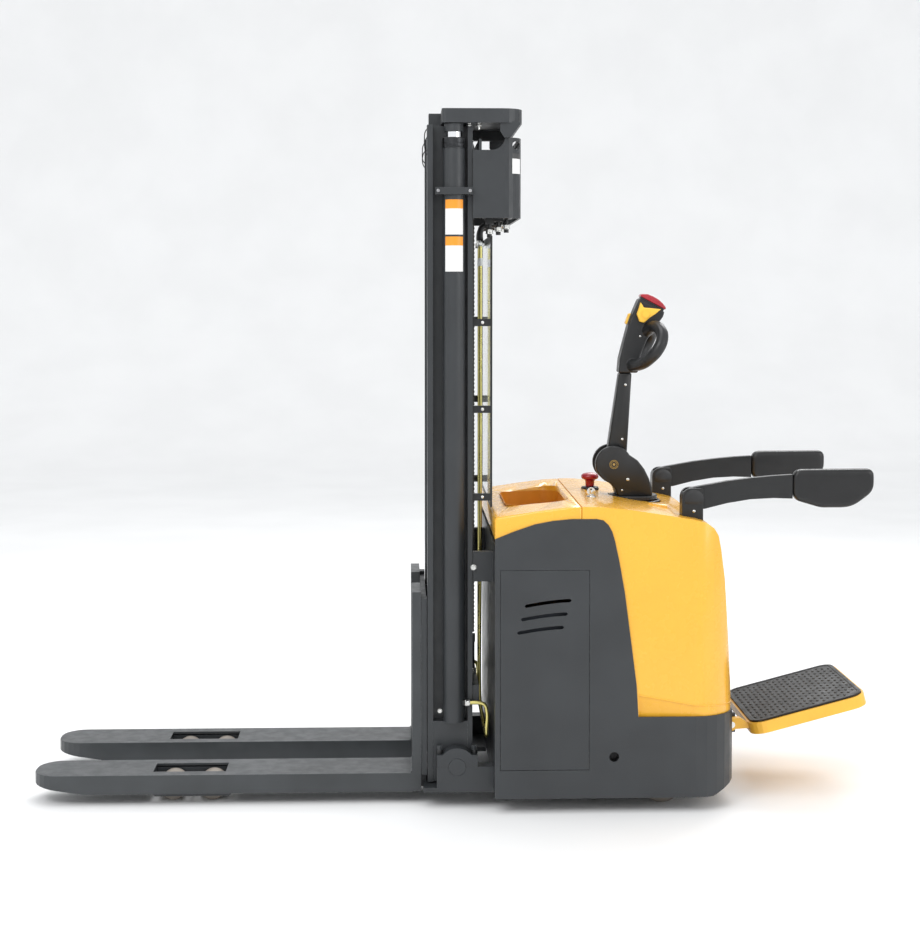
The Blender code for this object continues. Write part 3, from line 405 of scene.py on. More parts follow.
def worn_edges(nodes, links, radius=0.0018):
    """How far the surface turns within a small radius, from 0 on a flat to 1 on an edge."""
    soft = nodes.new("ShaderNodeBevel")
    soft.samples = 3
    soft.inputs["Radius"].default_value = radius
    dot = nodes.new("ShaderNodeVectorMath")
    dot.operation = "DOT_PRODUCT"
    links.new(soft.outputs["Normal"], dot.inputs[0])
    links.new(nodes.new("ShaderNodeNewGeometry").outputs["Normal"], dot.inputs[1])
    return ranged(nodes, links, dot.outputs["Value"], 0.85, 0.0, 0.86, 0.98)


def finish(name, color, rough, grain, depth, spread=0.12, wear=None, metallic=0.0, coat=0.0,
           strength=0.3, stretch=None, smudging=0.16):
    """Surface with slow colour drift, a fine grain of a size and depth, and worn edges."""
    material, nodes, links, shader = new_material(name)
    drift = noise(nodes, links, 7.0, 4.0)
    base = mixed(nodes, links, ranged(nodes, links, drift, 0.0, 1.0),
                 scaled(color, 1 - spread), scaled(color, 1 + spread))
    if wear:
        edge = worn_edges(nodes, links)
        chips = ranged(nodes, links, noise(nodes, links, 160.0, 5.0), 0.0, 1.0, 0.45, 0.62)
        base = mixed(nodes, links, times(nodes, links, edge, chips), base, wear)
    links.new(base, shader.inputs["Base Color"])
    shader.inputs["Metallic"].default_value = metallic
    shader.inputs["Coat Weight"].default_value = coat
    shader.inputs["Coat Roughness"].default_value = 0.12
    smudge = noise(nodes, links, 28.0, 5.0)
    gloss = ranged(nodes, links, smudge, rough * (1 - smudging), rough * (1 + smudging))
    links.new(gloss, shader.inputs["Roughness"])
    bumped(nodes, links, shader, noise(nodes, links, 1 / grain, 2.0, stretch), strength, depth)
    return material


def studio_paint():
    material, nodes, links, shader = new_material("studio_paint")
    drift = ranged(nodes, links, noise(nodes, links, 1.5), 0.0, 1.0)
    links.new(mixed(nodes, links, drift, (0.86, 0.86, 0.86), (0.89, 0.89, 0.89)),
              shader.inputs["Base Color"])
    shader.inputs["Roughness"].default_value = 0.62
    return material


def clear_sheet():
    """Polycarbonate with faint wipe marks."""
    material, nodes, links, shader = new_material("clear_sheet")
    shader.inputs["Base Color"].default_value = (0.94, 0.97, 0.975, 1.0)
    shader.inputs["Transmission Weight"].default_value = 1.0
    shader.inputs["IOR"].default_value = 1.2
    marks = noise(nodes, links, 40.0, 5.0, (1.0, 1.0, 0.2))
    links.new(ranged(nodes, links, marks, 0.02, 0.10), shader.inputs["Roughness"])
    return material


def knurled(name, color):
    """Machined metal with fine turned rings."""
    material, nodes, links, shader = new_material(name)
    wave = nodes.new("ShaderNodeTexWave")
    wave.bands_direction = "Z"
    wave.inputs["Scale"].default_value = 90.0
    links.new(nodes.new("ShaderNodeTexCoord").outputs["Object"], wave.inputs["Vector"])
    drift = ranged(nodes, links, noise(nodes, links, 60.0), 0.0, 1.0)
    links.new(mixed(nodes, links, drift, scaled(color, 0.8), color), shader.inputs["Base Color"])
    shader.inputs["Metallic"].default_value = 1.0
    links.new(ranged(nodes, links, wave.outputs["Fac"], 0.25, 0.4, 0.0, 1.0),
              shader.inputs["Roughness"])
    bumped(nodes, links, shader, wave.outputs["Fac"], 0.3, 0.0002)
    return material


def label_card(name, low, high, band):
    """Blank sticker: white, with one plain coloured band across its top."""
    material, nodes, links, shader = new_material(name)
    parts = nodes.new("ShaderNodeSeparateXYZ")
    links.new(nodes.new("ShaderNodeTexCoord").outputs["Object"], parts.inputs["Vector"])
    edge = high - (high - low) * 0.26
    top = ranged(nodes, links, parts.outputs["Z"], 0.0, 1.0, edge, edge + 0.0004)
    paper = mixed(nodes, links, ranged(nodes, links, noise(nodes, links, 90.0), 0.0, 1.0),
                  (0.78, 0.78, 0.76), (0.84, 0.84, 0.83))
    links.new(mixed(nodes, links, top, paper, band), shader.inputs["Base Color"])
    shader.inputs["Roughness"].default_value = 0.35
    bumped(nodes, links, shader, noise(nodes, links, 300.0), 0.1, 0.0001)
    return material


DARK = finish("dark_paint", (0.026, 0.029, 0.032), 0.42, 0.0011, 0.00012, 0.10,
              wear=(0.10, 0.11, 0.11))
FORK_PAINT = finish("fork_paint", (0.036, 0.040, 0.043), 0.38, 0.0013, 0.00014, 0.16,
                    wear=(0.16, 0.17, 0.17))
BLACK = finish("black_paint", (0.008, 0.0085, 0.009), 0.36, 0.0010, 0.00010, 0.15,
               wear=(0.07, 0.07, 0.07))
YELLOW = finish("yellow_cover", (0.84, 0.43, 0.035), 0.27, 0.0012, 0.00003, 0.015,
                coat=0.3, strength=0.15, smudging=0.05)
AMBER = finish("yellow_tray", (0.62, 0.25, 0.02), 0.42, 0.0009, 0.00008, 0.08)
YELLOW_STEEL = finish("yellow_paint", (0.86, 0.47, 0.05), 0.36, 0.0012, 0.00010, 0.08,
                      wear=(0.35, 0.33, 0.30))
YELLOW_PLASTIC = finish("yellow_plastic", (0.90, 0.52, 0.05), 0.36, 0.0007, 0.00006, 0.04)
BLACK_PLASTIC = finish("black_plastic", (0.010, 0.0105, 0.0115), 0.42, 0.0008, 0.00014, 0.10,
                       wear=(0.035, 0.035, 0.035), strength=0.45)
RED = finish("red_plastic", (0.36, 0.008, 0.020), 0.30, 0.0009, 0.00004, 0.06, coat=0.3)
BATTERY = finish("battery_case", (0.035, 0.042, 0.055), 0.55, 0.0009, 0.00015, 0.15)
STEEL = finish("bare_steel", (0.42, 0.42, 0.43), 0.34, 0.0009, 0.00008, 0.14, metallic=1.0,
               wear=(0.62, 0.62, 0.62))
ZINC = finish("zinc_plate", (0.66, 0.66, 0.64), 0.26, 0.0006, 0.00004, 0.10, metallic=1.0)
CHROME = finish("chrome", (0.84, 0.85, 0.87), 0.07, 0.0005, 0.00001, 0.03, metallic=1.0,
                strength=0.1)
BRASS = finish("brass", (0.42, 0.28, 0.10), 0.28, 0.0006, 0.00004, 0.14, metallic=1.0)
PIPE = finish("pipe_plate", (0.62, 0.55, 0.20), 0.30, 0.0006, 0.00004, 0.14, metallic=1.0)
CHAIN = finish("chain_steel", (0.085, 0.082, 0.078), 0.38, 0.0007, 0.00010, 0.25, metallic=0.85,
               wear=(0.40, 0.40, 0.40))
TYRE = finish("tyre", (0.030, 0.028, 0.027), 0.62, 0.0012, 0.00022, 0.18, strength=0.5)
WHEEL = finish("load_wheel_tread", (0.23, 0.20, 0.17), 0.45, 0.0010, 0.00012, 0.16)
RUBBER = finish("rubber", (0.008, 0.008, 0.0085), 0.52, 0.0007, 0.00018, 0.2, strength=0.5)
PAD_SKIN = finish("pad_skin", (0.006, 0.006, 0.0065), 0.36, 0.0016, 0.00030, 0.15, strength=0.5)
GLAND = knurled("gland_steel", (0.055, 0.057, 0.060))
WHITE_BAND = finish("white_tape", (0.74, 0.75, 0.73), 0.45, 0.0009, 0.00008, 0.05)
CLEAR = clear_sheet()


# Fasteners
def hex_nut(place, across, height, axis="Z", flip=False, bolt=0.0, shank=0.0):
    """Hexagon nut or head with a domed top and, for a nut, the end of its bolt."""
    radius = across / math.sqrt(3)
    nut = plate(hexagon(across), "XY", 0.0, height)
    dome = turned([(0, -0.001), (radius + 0.001, -0.001), (radius + 0.001, height * 0.72),
                   (across * 0.47, height), (0, height)], "Z", (0, 0, 0), 36)
    nut = bevelled(combined(nut, [dome], "INTERSECT"), across * 0.02, 2)
    pieces = [nut]
    if bolt:
        end = height + shank
        pieces.append(turned([(0, 0), (bolt, 0), (bolt, end - bolt * 0.3), (bolt * 0.7, end),
                              (0, end)], "Z", (0, 0, 0), 24))
    pieces.append(turned([(0, -0.0015), (across * 0.62, -0.0015), (across * 0.62, 0.0004),
                          (0, 0.0004)], "Z", (0, 0, 0), 32))
    return placed(joined("nut", *pieces), place, axis, flip)


def cap_screw(place, radius, height, axis="Z", flip=False):
    """Socket-head cap screw with its hexagon socket."""
    edge = radius * 0.1
    head = turned([(0, 0), (radius, 0), (radius, height - edge), (radius - edge, height),
                   (0, height)], "Z", (0, 0, 0), 32)
    head = cut(head, plate(hexagon(radius), "XY", height * 0.45, height + 0.01))
    return placed(head, place, axis, flip)


def round_screw(place, radius, axis="Y", flip=False):
    """Low domed screw with a cross recess."""
    height = radius * 0.5
    dome = [(r, z * height / radius) for r, z in arc((0, 0), radius, 0, 90, 6)]
    head = turned([(0, -0.0005), (radius, -0.0005), *dome], "Z", (0, 0, 0), 28)
    slot, wide = radius * 0.11, radius * 0.55
    for u, v in ((wide, slot), (slot, wide)):
        head = cut(head, block((-u, u), (-v, v), (height * 0.35, height + 0.01)))
    return placed(head, place, axis, flip)


def weld_bead(points, radius=0.0028):
    """Bead of weld with its ripples, along straight runs."""
    path = []
    for a, b in zip(points, points[1:]):
        a, b = Vector(a), Vector(b)
        count = max(2, int((b - a).length / 0.0022))
        path += [a.lerp(b, i / count) for i in range(count)]
    path.append(Vector(points[-1]))
    bm = bmesh.new()
    rings = []
    for i, place in enumerate(path):
        ahead = (path[min(i + 1, len(path) - 1)] - path[max(i - 1, 0)]).normalized()
        side = ahead.orthogonal().normalized()
        up = ahead.cross(side)
        size = radius * (1.0 + 0.09 * math.sin(i * 2.1) + 0.07 * math.sin(i * 0.7))
        rings.append([bm.verts.new(place + (side * math.cos(a) + up * math.sin(a)) * size)
                      for a in (math.radians(k * 45) for k in range(8))])
    for a, b in zip(rings, rings[1:]):
        for k in range(8):
            bm.faces.new((a[k], a[(k + 1) % 8], b[(k + 1) % 8], b[k]))
    bm.faces.new(rings[0])
    bm.faces.new(rings[-1])
    return outward(from_bmesh(bm, "weld"))


# CAD nodes that stay, with rolled edges
def carried_over(name, material, width=0.0012, segments=2):
    """Gives a CAD node its finish, and rolls its sharp edges."""
    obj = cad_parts[name]
    obj.data.materials.clear()
    obj.data.materials.append(material)
    weld = obj.modifiers.new("Weld", "WELD")
    weld.merge_threshold = 0.00002
    flat = obj.modifiers.new("Decimate", "DECIMATE")
    flat.decimate_type = "DISSOLVE"
    flat.angle_limit = math.radians(1.0)
    bevelled(obj, width, segments, 34)
    return obj


# Driving dimensions, most of them read from the frame
def middle(name, axis):
    low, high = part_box(name)
    return (low[axis] + high[axis]) / 2


COVER_LOW, COVER_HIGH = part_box("top_cover")
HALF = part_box("body_shell")[1][1]
BODY_REAR = 0.841
SEAM_X = COVER_HIGH[0]
DRIVE_X = middle("drive_wheel", 0)
WHEEL_Z = middle("drive_wheel", 2)
CYLINDER_X = middle("lift_cylinder_left", 0)
CYLINDER_Y = -middle("lift_cylinder_left", 1)
CYLINDER_LOW, GLAND_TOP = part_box("lift_cylinder_left")[0][2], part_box("lift_cylinder_left")[1][2]
PULLEY_X, PULLEY_Z = middle("chain_pulley_left", 0), middle("chain_pulley_left", 2)
CHAIN_Y = -middle("chain_pulley_left", 1)
CHAIN_REAR_X = middle("lift_chain_rear_left", 0)
CHAIN_FRONT_X = 2 * PULLEY_X - CHAIN_REAR_X
PIVOT = Vector((0.506, 0.0, 1.007))
POST_X = tuple(c[0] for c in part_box("arm_post_left"))
POST_Y = tuple(sorted(-c[1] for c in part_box("arm_post_left")))
ARM = (0.713, 0.943)
STOP = (middle("emergency_stop_button", 0), middle("emergency_stop_button", 1), 0)
KEY = (middle("ignition_key", 0), middle("ignition_key", 1), 0)
HOOD_INSET = 0.0055
HOOD_FRONT = SEAM_X + 0.0003
HOOD_BOTTOM = 0.262


# Body
def body_plan(inset, front):
    y, corner = HALF - inset, 0.130
    return rounded([(front, -y, 0), (BODY_REAR - inset, -y, corner - inset),
                    (BODY_REAR - inset, y, corner - inset), (front, y, 0)], 14)


def hood_block(inset, bottom, low):
    """Solid under the hood's skin: its side outline over its plan, with rolled edges."""
    top = [(low, 0.9155), (0.420, 0.9155), (0.520, 0.905), (0.640, 0.8865), (0.715, 0.873),
           (0.743, 0.865), (0.765, 0.848), (0.779, 0.826), (0.788, 0.786), (0.802, 0.695),
           (0.818, 0.500), (0.8352, 0.290), (0.8352, bottom)]
    outline = [(low, bottom), *[(x - inset * 0.8 * (x > low), z - inset * 0.8 * (z > bottom))
                                for x, z in top]]
    half = HALF - HOOD_INSET - inset
    plan = plate(body_plan(HOOD_INSET + 0.0001 + inset, 0.2), "XY", 0.1, 1.1)
    return combined(plate(outline, "XZ", -half, half), [plan], "INTERSECT")


def rear_hood():
    hood = bevelled(hood_block(0.0, HOOD_BOTTOM, HOOD_FRONT), 0.009, 5, 40)
    front = [(0.3, 0.1), (HOOD_FRONT, 0.1), (HOOD_FRONT, 1.0), (0.3, 1.0)]
    hood.name = "rear_hood_skin"
    hood = cut(applied(hood), plate(front, "XZ", -0.5, 0.5), hood_block(0.0045, 0.2, 0.3))
    recess = [(0.30, 0.24), (0.540, 0.24), (0.540, 0.352), (0.700, 0.322), (0.90, 0.303),
              (0.90, 0.24)]
    for _, side in SIDES:
        ys = sorted((side * (HALF - 0.0084), side * 0.5))
        hood = cut(hood, plate(recess, "XZ", *ys))
    cutters = [bar(radius, 0.8, 1.0, "Z", place) for radius, place in
               ((0.0795, (DRIVE_X, 0, 0)), (0.0105, STOP), (0.0066, KEY))]
    for _, side in SIDES:
        ys = [side * (POST_Y[0] - 0.0012), side * (POST_Y[1] + 0.0012)]
        cutters.append(block((POST_X[0] - 0.0012, POST_X[1] + 0.0012), ys, (0.7, 1.0)))
    hood = cut(hood, *cutters)
    bevelled(hood, 0.0008, 2, 50)
    piece(applied(hood), "rear_hood_skin", "chassis", YELLOW,
          ["rear_hood"], 28)


def hood_features():
    """Moulded crease low on the hood, console round the column, collars for stop and key."""
    line = [(0.541, 0.3505), (0.700, 0.3205), (0.90, 0.3015)]
    band = plate([*line, *[(x, z + 0.0045) for x, z in reversed(line)]], "XZ", -0.5, 0.5)
    crease = cut(combined(hood_block(-0.0014, HOOD_BOTTOM, HOOD_FRONT), [band], "INTERSECT"),
                 hood_block(0.002, 0.2, 0.3))
    piece(applied(bevelled(crease, 0.0007, 2, 50)), "hood_crease", "chassis", YELLOW)
    rise = [(0.600, -0.150), (0.655, -0.190), (0.672, -0.120), (0.672, 0.120), (0.655, 0.190),
            (0.600, 0.150), (0.655, 0.085), (0.655, -0.085)]
    console = plate(rise, "XY", 0.868, 0.899)
    lid = plate([(0.59, 0.86), (0.60, 0.8960), (0.655, 0.8925), (0.676, 0.884), (0.676, 0.86)],
                "XZ", -0.3, 0.3)
    console = bevelled(combined(console, [lid], "INTERSECT"), 0.003, 3)
    piece(applied(console), "hood_console", "chassis", YELLOW)
    ring = [(0.0106, 0.912), (0.0106, 0.9135), (0.0154, 0.9135), (0.0154, 0.9215),
            (0.0255, 0.9215), (0.028, 0.9195), (0.029, 0.915), (0.029, 0.910)]
    stop = turned(ring, "Z", STOP, 48)
    piece(stop, "stop_collar", "chassis", BLACK_PLASTIC)
    ring = [(0.0067, 0.912), (0.0067, 0.9190), (0.0125, 0.9190), (0.0145, 0.9165),
            (0.0145, 0.912)]
    lock = turned(ring, "Z", KEY, 40)
    piece(lock, "key_lock_collar", "chassis", ZINC)
    gaiter = turned([(0.080, 0.884), (0.080, 0.8915), (0.086, 0.8915), (0.0885, 0.890),
                     (0.0885, 0.884)], "Z", (DRIVE_X, 0, 0), 64)
    piece(gaiter, "turntable_seal", "chassis", BLACK_PLASTIC)


def top_cover():
    """Front cover with rolled edges and its sunken tray."""
    def outline(inset):
        return [(COVER_LOW[0] + inset, COVER_LOW[2]), (COVER_LOW[0] + inset, 0.884 - inset),
                (0.230, 0.902 - inset), (0.320, 0.913 - inset), (SEAM_X, 0.9155 - inset),
                (SEAM_X, COVER_LOW[2])]
    half = COVER_HIGH[1]
    cover = bevelled(plate(outline(0.0), "XZ", -half, half), 0.006, 4, 50)
    hollow = plate([(x - 0.004 * (x == SEAM_X), 0.7 if z == COVER_LOW[2] else z)
                    for x, z in outline(0.004)], "XZ", 0.004 - half, half - 0.004)

    def tray(grow, low, high):
        return plate(rounded([(0.154 - grow, -0.190 - grow, 0.05 + grow),
                              (0.350 + grow, -0.250 - grow, 0.05 + grow),
                              (0.350 + grow, 0.225 + grow, 0.05 + grow),
                              (0.154 - grow, 0.165 + grow, 0.05 + grow)], 12), "XY", low, high)
    hollow = cut(hollow, tray(0.004, 0.836, 1.1))
    cover = cut(applied(cover), hollow, tray(0.0, 0.840, 1.0))
    bevelled(cover, 0.0016, 3, 50)
    piece(applied(cover), "top_cover_skin", "chassis", YELLOW, ["top_cover"], 28)
    liner = tray(-0.0004, 0.8402, 0.8412)
    lip = cut(tray(-0.0006, 0.8405, 0.8975), tray(-0.0018, 0.83, 1.0))
    piece(joined("tray_liner", liner, lip), "tray_liner", "chassis", AMBER)


def body_details():
    """Doors with dark backing plates behind their gaps as painted shade, the side holes, and the body's
    CAD parts.
    """
    for name, side in SIDES:
        carried_over(f"access_door_{name}", DARK, 0.0009)
        low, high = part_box(f"access_door_{name}")
        gap = 0.010
        edges = [[(u - s * gap, v - t * gap, 0.004) for u, v, s, t in
                  ((low[0], low[2], k, k), (high[0], low[2], -k, k), (high[0], high[2], -k, -k),
                   (low[0], high[2], k, -k))] for k in (1, -1)]
        ys = (side * (HALF - 0.0072), side * (HALF - 0.0054))
        # Dark rubber plate behind the door gap: painted shade for the shadowed inside of the body seen
        # through it.
        gap_shade = plate(rounded(edges[0]), "XZ", *ys, [rounded(edges[1])])
        piece(gap_shade, f"door_gap_shade_{name}", "chassis", RUBBER)
        plug = turned([(0, -0.024), (0.0140, -0.024), (0.0140, 0), (0.0185, -0.0006),
                       (0.0185, -0.0018), (0.0155, -0.0018), (0.0155, -0.026), (0, -0.026)],
                      "Z", (0, 0, 0), 40)
        plug = placed(plug, (0.466, side * (HALF - 0.0056), 0.169), "Y", side > 0)
        piece(plug, f"side_hole_liner_{name}", "chassis", RUBBER)
    carried_over("body_shell", DARK, 0.0018, 3)
    carried_over("chassis_frame", DARK)
    carried_over("battery_pack", BATTERY, 0.002)
    carried_over("hydraulic_power_unit", BATTERY, 0.002)


set_camera()
set_stage()
set_lights()
rear_hood()
hood_features()
top_cover()
body_details()


# Mast
def cylinders():
    for name, side in SIDES:
        y = side * CYLINDER_Y
        foot, gland = CYLINDER_LOW, 1.981
        barrel = [(0, foot), (0.0315, foot), (0.0320, foot + 0.0015), (0.0320, foot + 0.028),
                  (0.0324, foot + 0.030), (0.0330, foot + 0.033), (0.0330, gland - 0.004),
                  (0.0322, gland - 0.003), (0.0322, gland), (0, gland)]
        piece(turned(barrel, "Z", (CYLINDER_X, y, 0), 72), f"lift_cylinder_skin_{name}",
              "chassis", DARK, [f"lift_cylinder_{name}"])
        cap = [(0.0240, gland - 0.0002), (0.0345, gland), (0.0350, gland + 0.001),
               (0.0350, gland + 0.012), (0.0342, gland + 0.013), (0.0342, gland + 0.0145),
               (0.0350, gland + 0.0155), (0.0350, GLAND_TOP - 0.0015), (0.0335, GLAND_TOP),
               (0.0262, GLAND_TOP), (0.0255, GLAND_TOP - 0.0025), (0.0240, GLAND_TOP - 0.0025),
               (0.0240, 1.90)]
        piece(turned(cap, "Z", (CYLINDER_X, y, 0), 72), f"cylinder_gland_{name}", "chassis",
              GLAND)
        rod = bar(0.0225, 0.50, 2.0536, "Z", (CYLINDER_X, y, 0), 72)
        piece(rod, f"piston_rod_skin_{name}", "inner_mast", CHROME,
              [f"piston_rod_{name}"])
        boss = turned([(0.0226, 2.0285), (0.0275, 2.0285), (0.0290, 2.0300), (0.0290, 2.0520),
                       (0.0275, 2.0535), (0.0226, 2.0535)], "Z", (CYLINDER_X, y, 0), 60)
        piece(boss, f"rod_collar_{name}", "inner_mast", DARK)
        angles = [side * (90 + 52 * (k / 6 - 1)) for k in range(13)]
        for k, heights in enumerate(((1.722, 1.826), (1.612, 1.716))):
            curved_card(f"cylinder_sticker_{name}_{k}", (CYLINDER_X, y), 0.0332, angles, heights,
                        (0.83, 0.30, 0.02))


def curved_card(name, centre, radius, angles, heights, band):
    """Thin blank card round an upright curve, through angles in degrees."""
    bm = bmesh.new()
    rows = []
    for a in map(math.radians, angles):
        x, y = centre[0] + radius * math.cos(a), centre[1] + radius * math.sin(a)
        rows.append([bm.verts.new((x, y, z)) for z in heights])
    for a, b in zip(rows, rows[1:]):
        bm.faces.new((a[0], b[0], b[1], a[1]))
    bmesh.ops.recalc_face_normals(bm, faces=bm.faces)
    card = from_bmesh(bm, name)
    thick = card.modifiers.new("Solidify", "SOLIDIFY")
    thick.thickness, thick.offset = 0.0002, 0
    piece(applied(card), name, "chassis", label_card(name, *heights, band))


def cover_card():
    """Blank card round the rear corner of the mast's top cover."""
    curved_card("top_cover_card", (0.144, -0.248), 0.0524, range(-63, -22, 5), (1.905, 1.965),
                (0.05, 0.05, 0.05))


def leaf_chain(name, y, run):
    """Leaf chain along a path of points: rows of waisted plates on pins."""
    plates = bmesh.new()
    pitch, half, thick = 0.0127, 0.0056, 0.0013
    points = []
    left = 0.0
    for a, b in zip(run, run[1:]):
        a, b = Vector(a), Vector(b)
        span = (b - a).length
        while left <= span:
            points.append(a.lerp(b, left / span))
            left += pitch
        left -= span
    for i, (a, b) in enumerate(zip(points, points[1:])):
        along = (b - a).normalized()
        across = Vector((along.z, 0, -along.x))
        mid = (a + b) / 2
        for k, offset in enumerate((-3, -1, 1, 3)):
            if (i + k) % 2:
                continue
            add_link(plates, mid, along, across, pitch, half, y + offset * 0.0016, thick)
            add_link(plates, mid, along, across, pitch, half, y + (offset + 2) * 0.0016
                     if offset < 3 else y - 5 * 0.0016, thick)
    for p in points:
        add_pin(plates, p, y, 0.0024, 0.0078)
    return from_bmesh(plates, name)


def add_link(bm, mid, along, across, pitch, half, y, thick):
    outline = []
    for end in (1, -1):
        for a in range(-80, 81, 32):
            r = math.radians(a)
            outline.append((end * (pitch / 2 + half * math.cos(r)), end * half * math.sin(r)))
        outline.append((0.0, end * half * 0.62))
    rings = []
    for s in (-1, 1):
        rings.append([bm.verts.new(mid + along * u + across * v
                                   + Vector((0, y - mid.y + s * thick / 2, 0)))
                      for u, v in outline])
    bm.faces.new(rings[0])
    bm.faces.new(list(reversed(rings[1])))
    count = len(outline)
    for k in range(count):
        bm.faces.new((rings[0][k], rings[1][k], rings[1][(k + 1) % count],
                      rings[0][(k + 1) % count]))


def add_pin(bm, place, y, radius, half):
    made = bmesh.ops.create_cone(bm, cap_ends=True, segments=10, radius1=radius, radius2=radius,
                                 depth=2 * half, matrix=Matrix.Rotation(math.pi / 2, 4, "X"))
    for v in made["verts"]:
        v.co += Vector((place.x, y, place.z))


def chains():
    for name, side in SIDES:
        y = side * CHAIN_Y
        radius = PULLEY_X - CHAIN_FRONT_X
        top = [(PULLEY_X + u, 0, PULLEY_Z + v) for u, v in arc((0, 0), radius, 180, 0, 24)]
        over = leaf_chain("over", y, top)
        piece(over, f"lift_chain_top_{name}", "inner_mast", CHAIN, smooth=40)
        front = leaf_chain("front", y, [(CHAIN_FRONT_X, 0, PULLEY_Z), (CHAIN_FRONT_X, 0, 0.452)])
        piece(front, f"lift_chain_front_run_{name}", "inner_mast", CHAIN,
              [f"lift_chain_front_{name}"], smooth=40)
        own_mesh(front)
        rear = leaf_chain("rear", y, [(CHAIN_REAR_X, 0, PULLEY_Z), (CHAIN_REAR_X, 0, 0.488)])
        piece(rear, f"lift_chain_rear_run_{name}", None, CHAIN,
              [f"lift_chain_rear_{name}"], smooth=40)
        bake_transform(rear)
        rim = [(0.0104, 0.013), (0.022, 0.013), (0.024, 0.0105), (0.040, 0.0105), (0.042, 0.013),
               (0.0492, 0.013), (0.050, 0.012), (0.050, 0.0098), (0.0364, 0.0092)]
        rim = [*rim, *[(r, -h) for r, h in reversed(rim)], rim[0]]
        wheel = turned(rim, "Y", (PULLEY_X, y, PULLEY_Z), 60)
        piece(wheel, f"chain_pulley_skin_{name}", f"chain_pulley_{name}", STEEL,
              [f"chain_pulley_{name}"])
        nuts = [hex_nut((CHAIN_REAR_X, y, 0.362), 0.019, 0.010, "Z"),
                hex_nut((CHAIN_REAR_X, y, 0.298), 0.019, 0.010, "Z", True, 0.006, 0.012)]
        piece(joined("nuts", *nuts), f"chain_anchor_nuts_{name}", "chassis", ZINC)


def mast_steel():
    """The mast's and the carriage's CAD parts."""
    for name, _ in SIDES:
        carried_over(f"outer_mast_upright_{name}", DARK, 0.0016, 3)
        carried_over(f"support_leg_{name}", DARK, 0.0014)
    carried_over("outer_mast_crossbeam", DARK)
    carried_over("outer_mast_top_cover", DARK, 0.0014, 3)
    carried_over("inner_mast_frame", DARK, 0.0014)
    carried_over("inner_mast_crosshead", DARK, 0.0022, 3)
    carried_over("carriage_frame", DARK, 0.0014)


def mast_trim():
    """Screws, bolts and wire clips of the outer mast, and the ends of its trunnions."""
    for name, side in SIDES:
        outer = side * 0.3425
        screws = [cap_screw((x, side * 0.3306, 1.8515), 0.0048, 0.0045, "Y", side > 0)
                  for x in (-0.055, 0.040)]
        piece(joined("screws", *screws), f"strap_screws_{name}", "chassis", STEEL)
        caps = [cap_screw((bx, side * 0.3175, 0.1605), 0.0105, 0.012) for bx in (-0.051, 0.053)]
        piece(joined("caps", *caps), f"pillow_block_screws_{name}", "chassis", BLACK)
        mounts = [hex_nut((x, side * 0.2902, z), size, 0.006, "Y", side > 0)
                  for x, z, size in ((0.052, 0.720, 0.014), (-0.050, 0.283, 0.011))]
        piece(joined("mounts", *mounts), f"mast_mount_bolts_{name}", "chassis", ZINC)
        wires = [tube([(-0.084, side * 0.243, 2.044), (-0.0915, side * 0.247, 2.034),
                       (-0.0945, side * 0.249, 2.010), (-0.0925, side * 0.249, 1.985),
                       (-0.084, side * 0.246, 1.972)], 0.0016, resolution=3)]
        wires.append(tube([(-0.084, side * 0.262, 2.020), (-0.0920, side * 0.264, 2.004),
                           (-0.0925, side * 0.264, 1.975), (-0.084, side * 0.262, 1.958)],
                          0.0016, resolution=3))
        piece(joined("wires", *wires), f"mast_wire_clips_{name}", "chassis", BLACK_PLASTIC)
        disc = turned([(0, 0), (0.0215, 0), (0.0225, -0.0008), (0.0225, -0.0022), (0.0240, -0.0022),
                       (0.0240, -0.0004), (0.0252, -0.0004), (0.0252, -0.003), (0, -0.003)], "Z",
                      (0, 0, 0), 56)
        disc = placed(disc, (0.001, outer - side * 0.0008, 0.124), "Y", side < 0)
        piece(disc, f"trunnion_end_{name}", "chassis", DARK)
        seam = block((-0.0605, 0.062), (outer - side * 0.001, outer + side * 0.0003),
                     (0.1244, 0.1256))
        piece(seam, f"pillow_block_seam_{name}", "chassis", BLACK)


def crosshead_trim():
    """Nuts below the crosshead's top plate."""
    for name, side in SIDES:
        y = side * CYLINDER_Y
        nuts = [hex_nut((CYLINDER_X + dx, y - side * 0.004, 2.0535), 0.014, 0.008, "Z", True, 0.004,
                        0.010) for dx in (0.046, 0.075)]
        piece(joined("nuts", *nuts), f"crosshead_nuts_{name}", "inner_mast", ZINC)


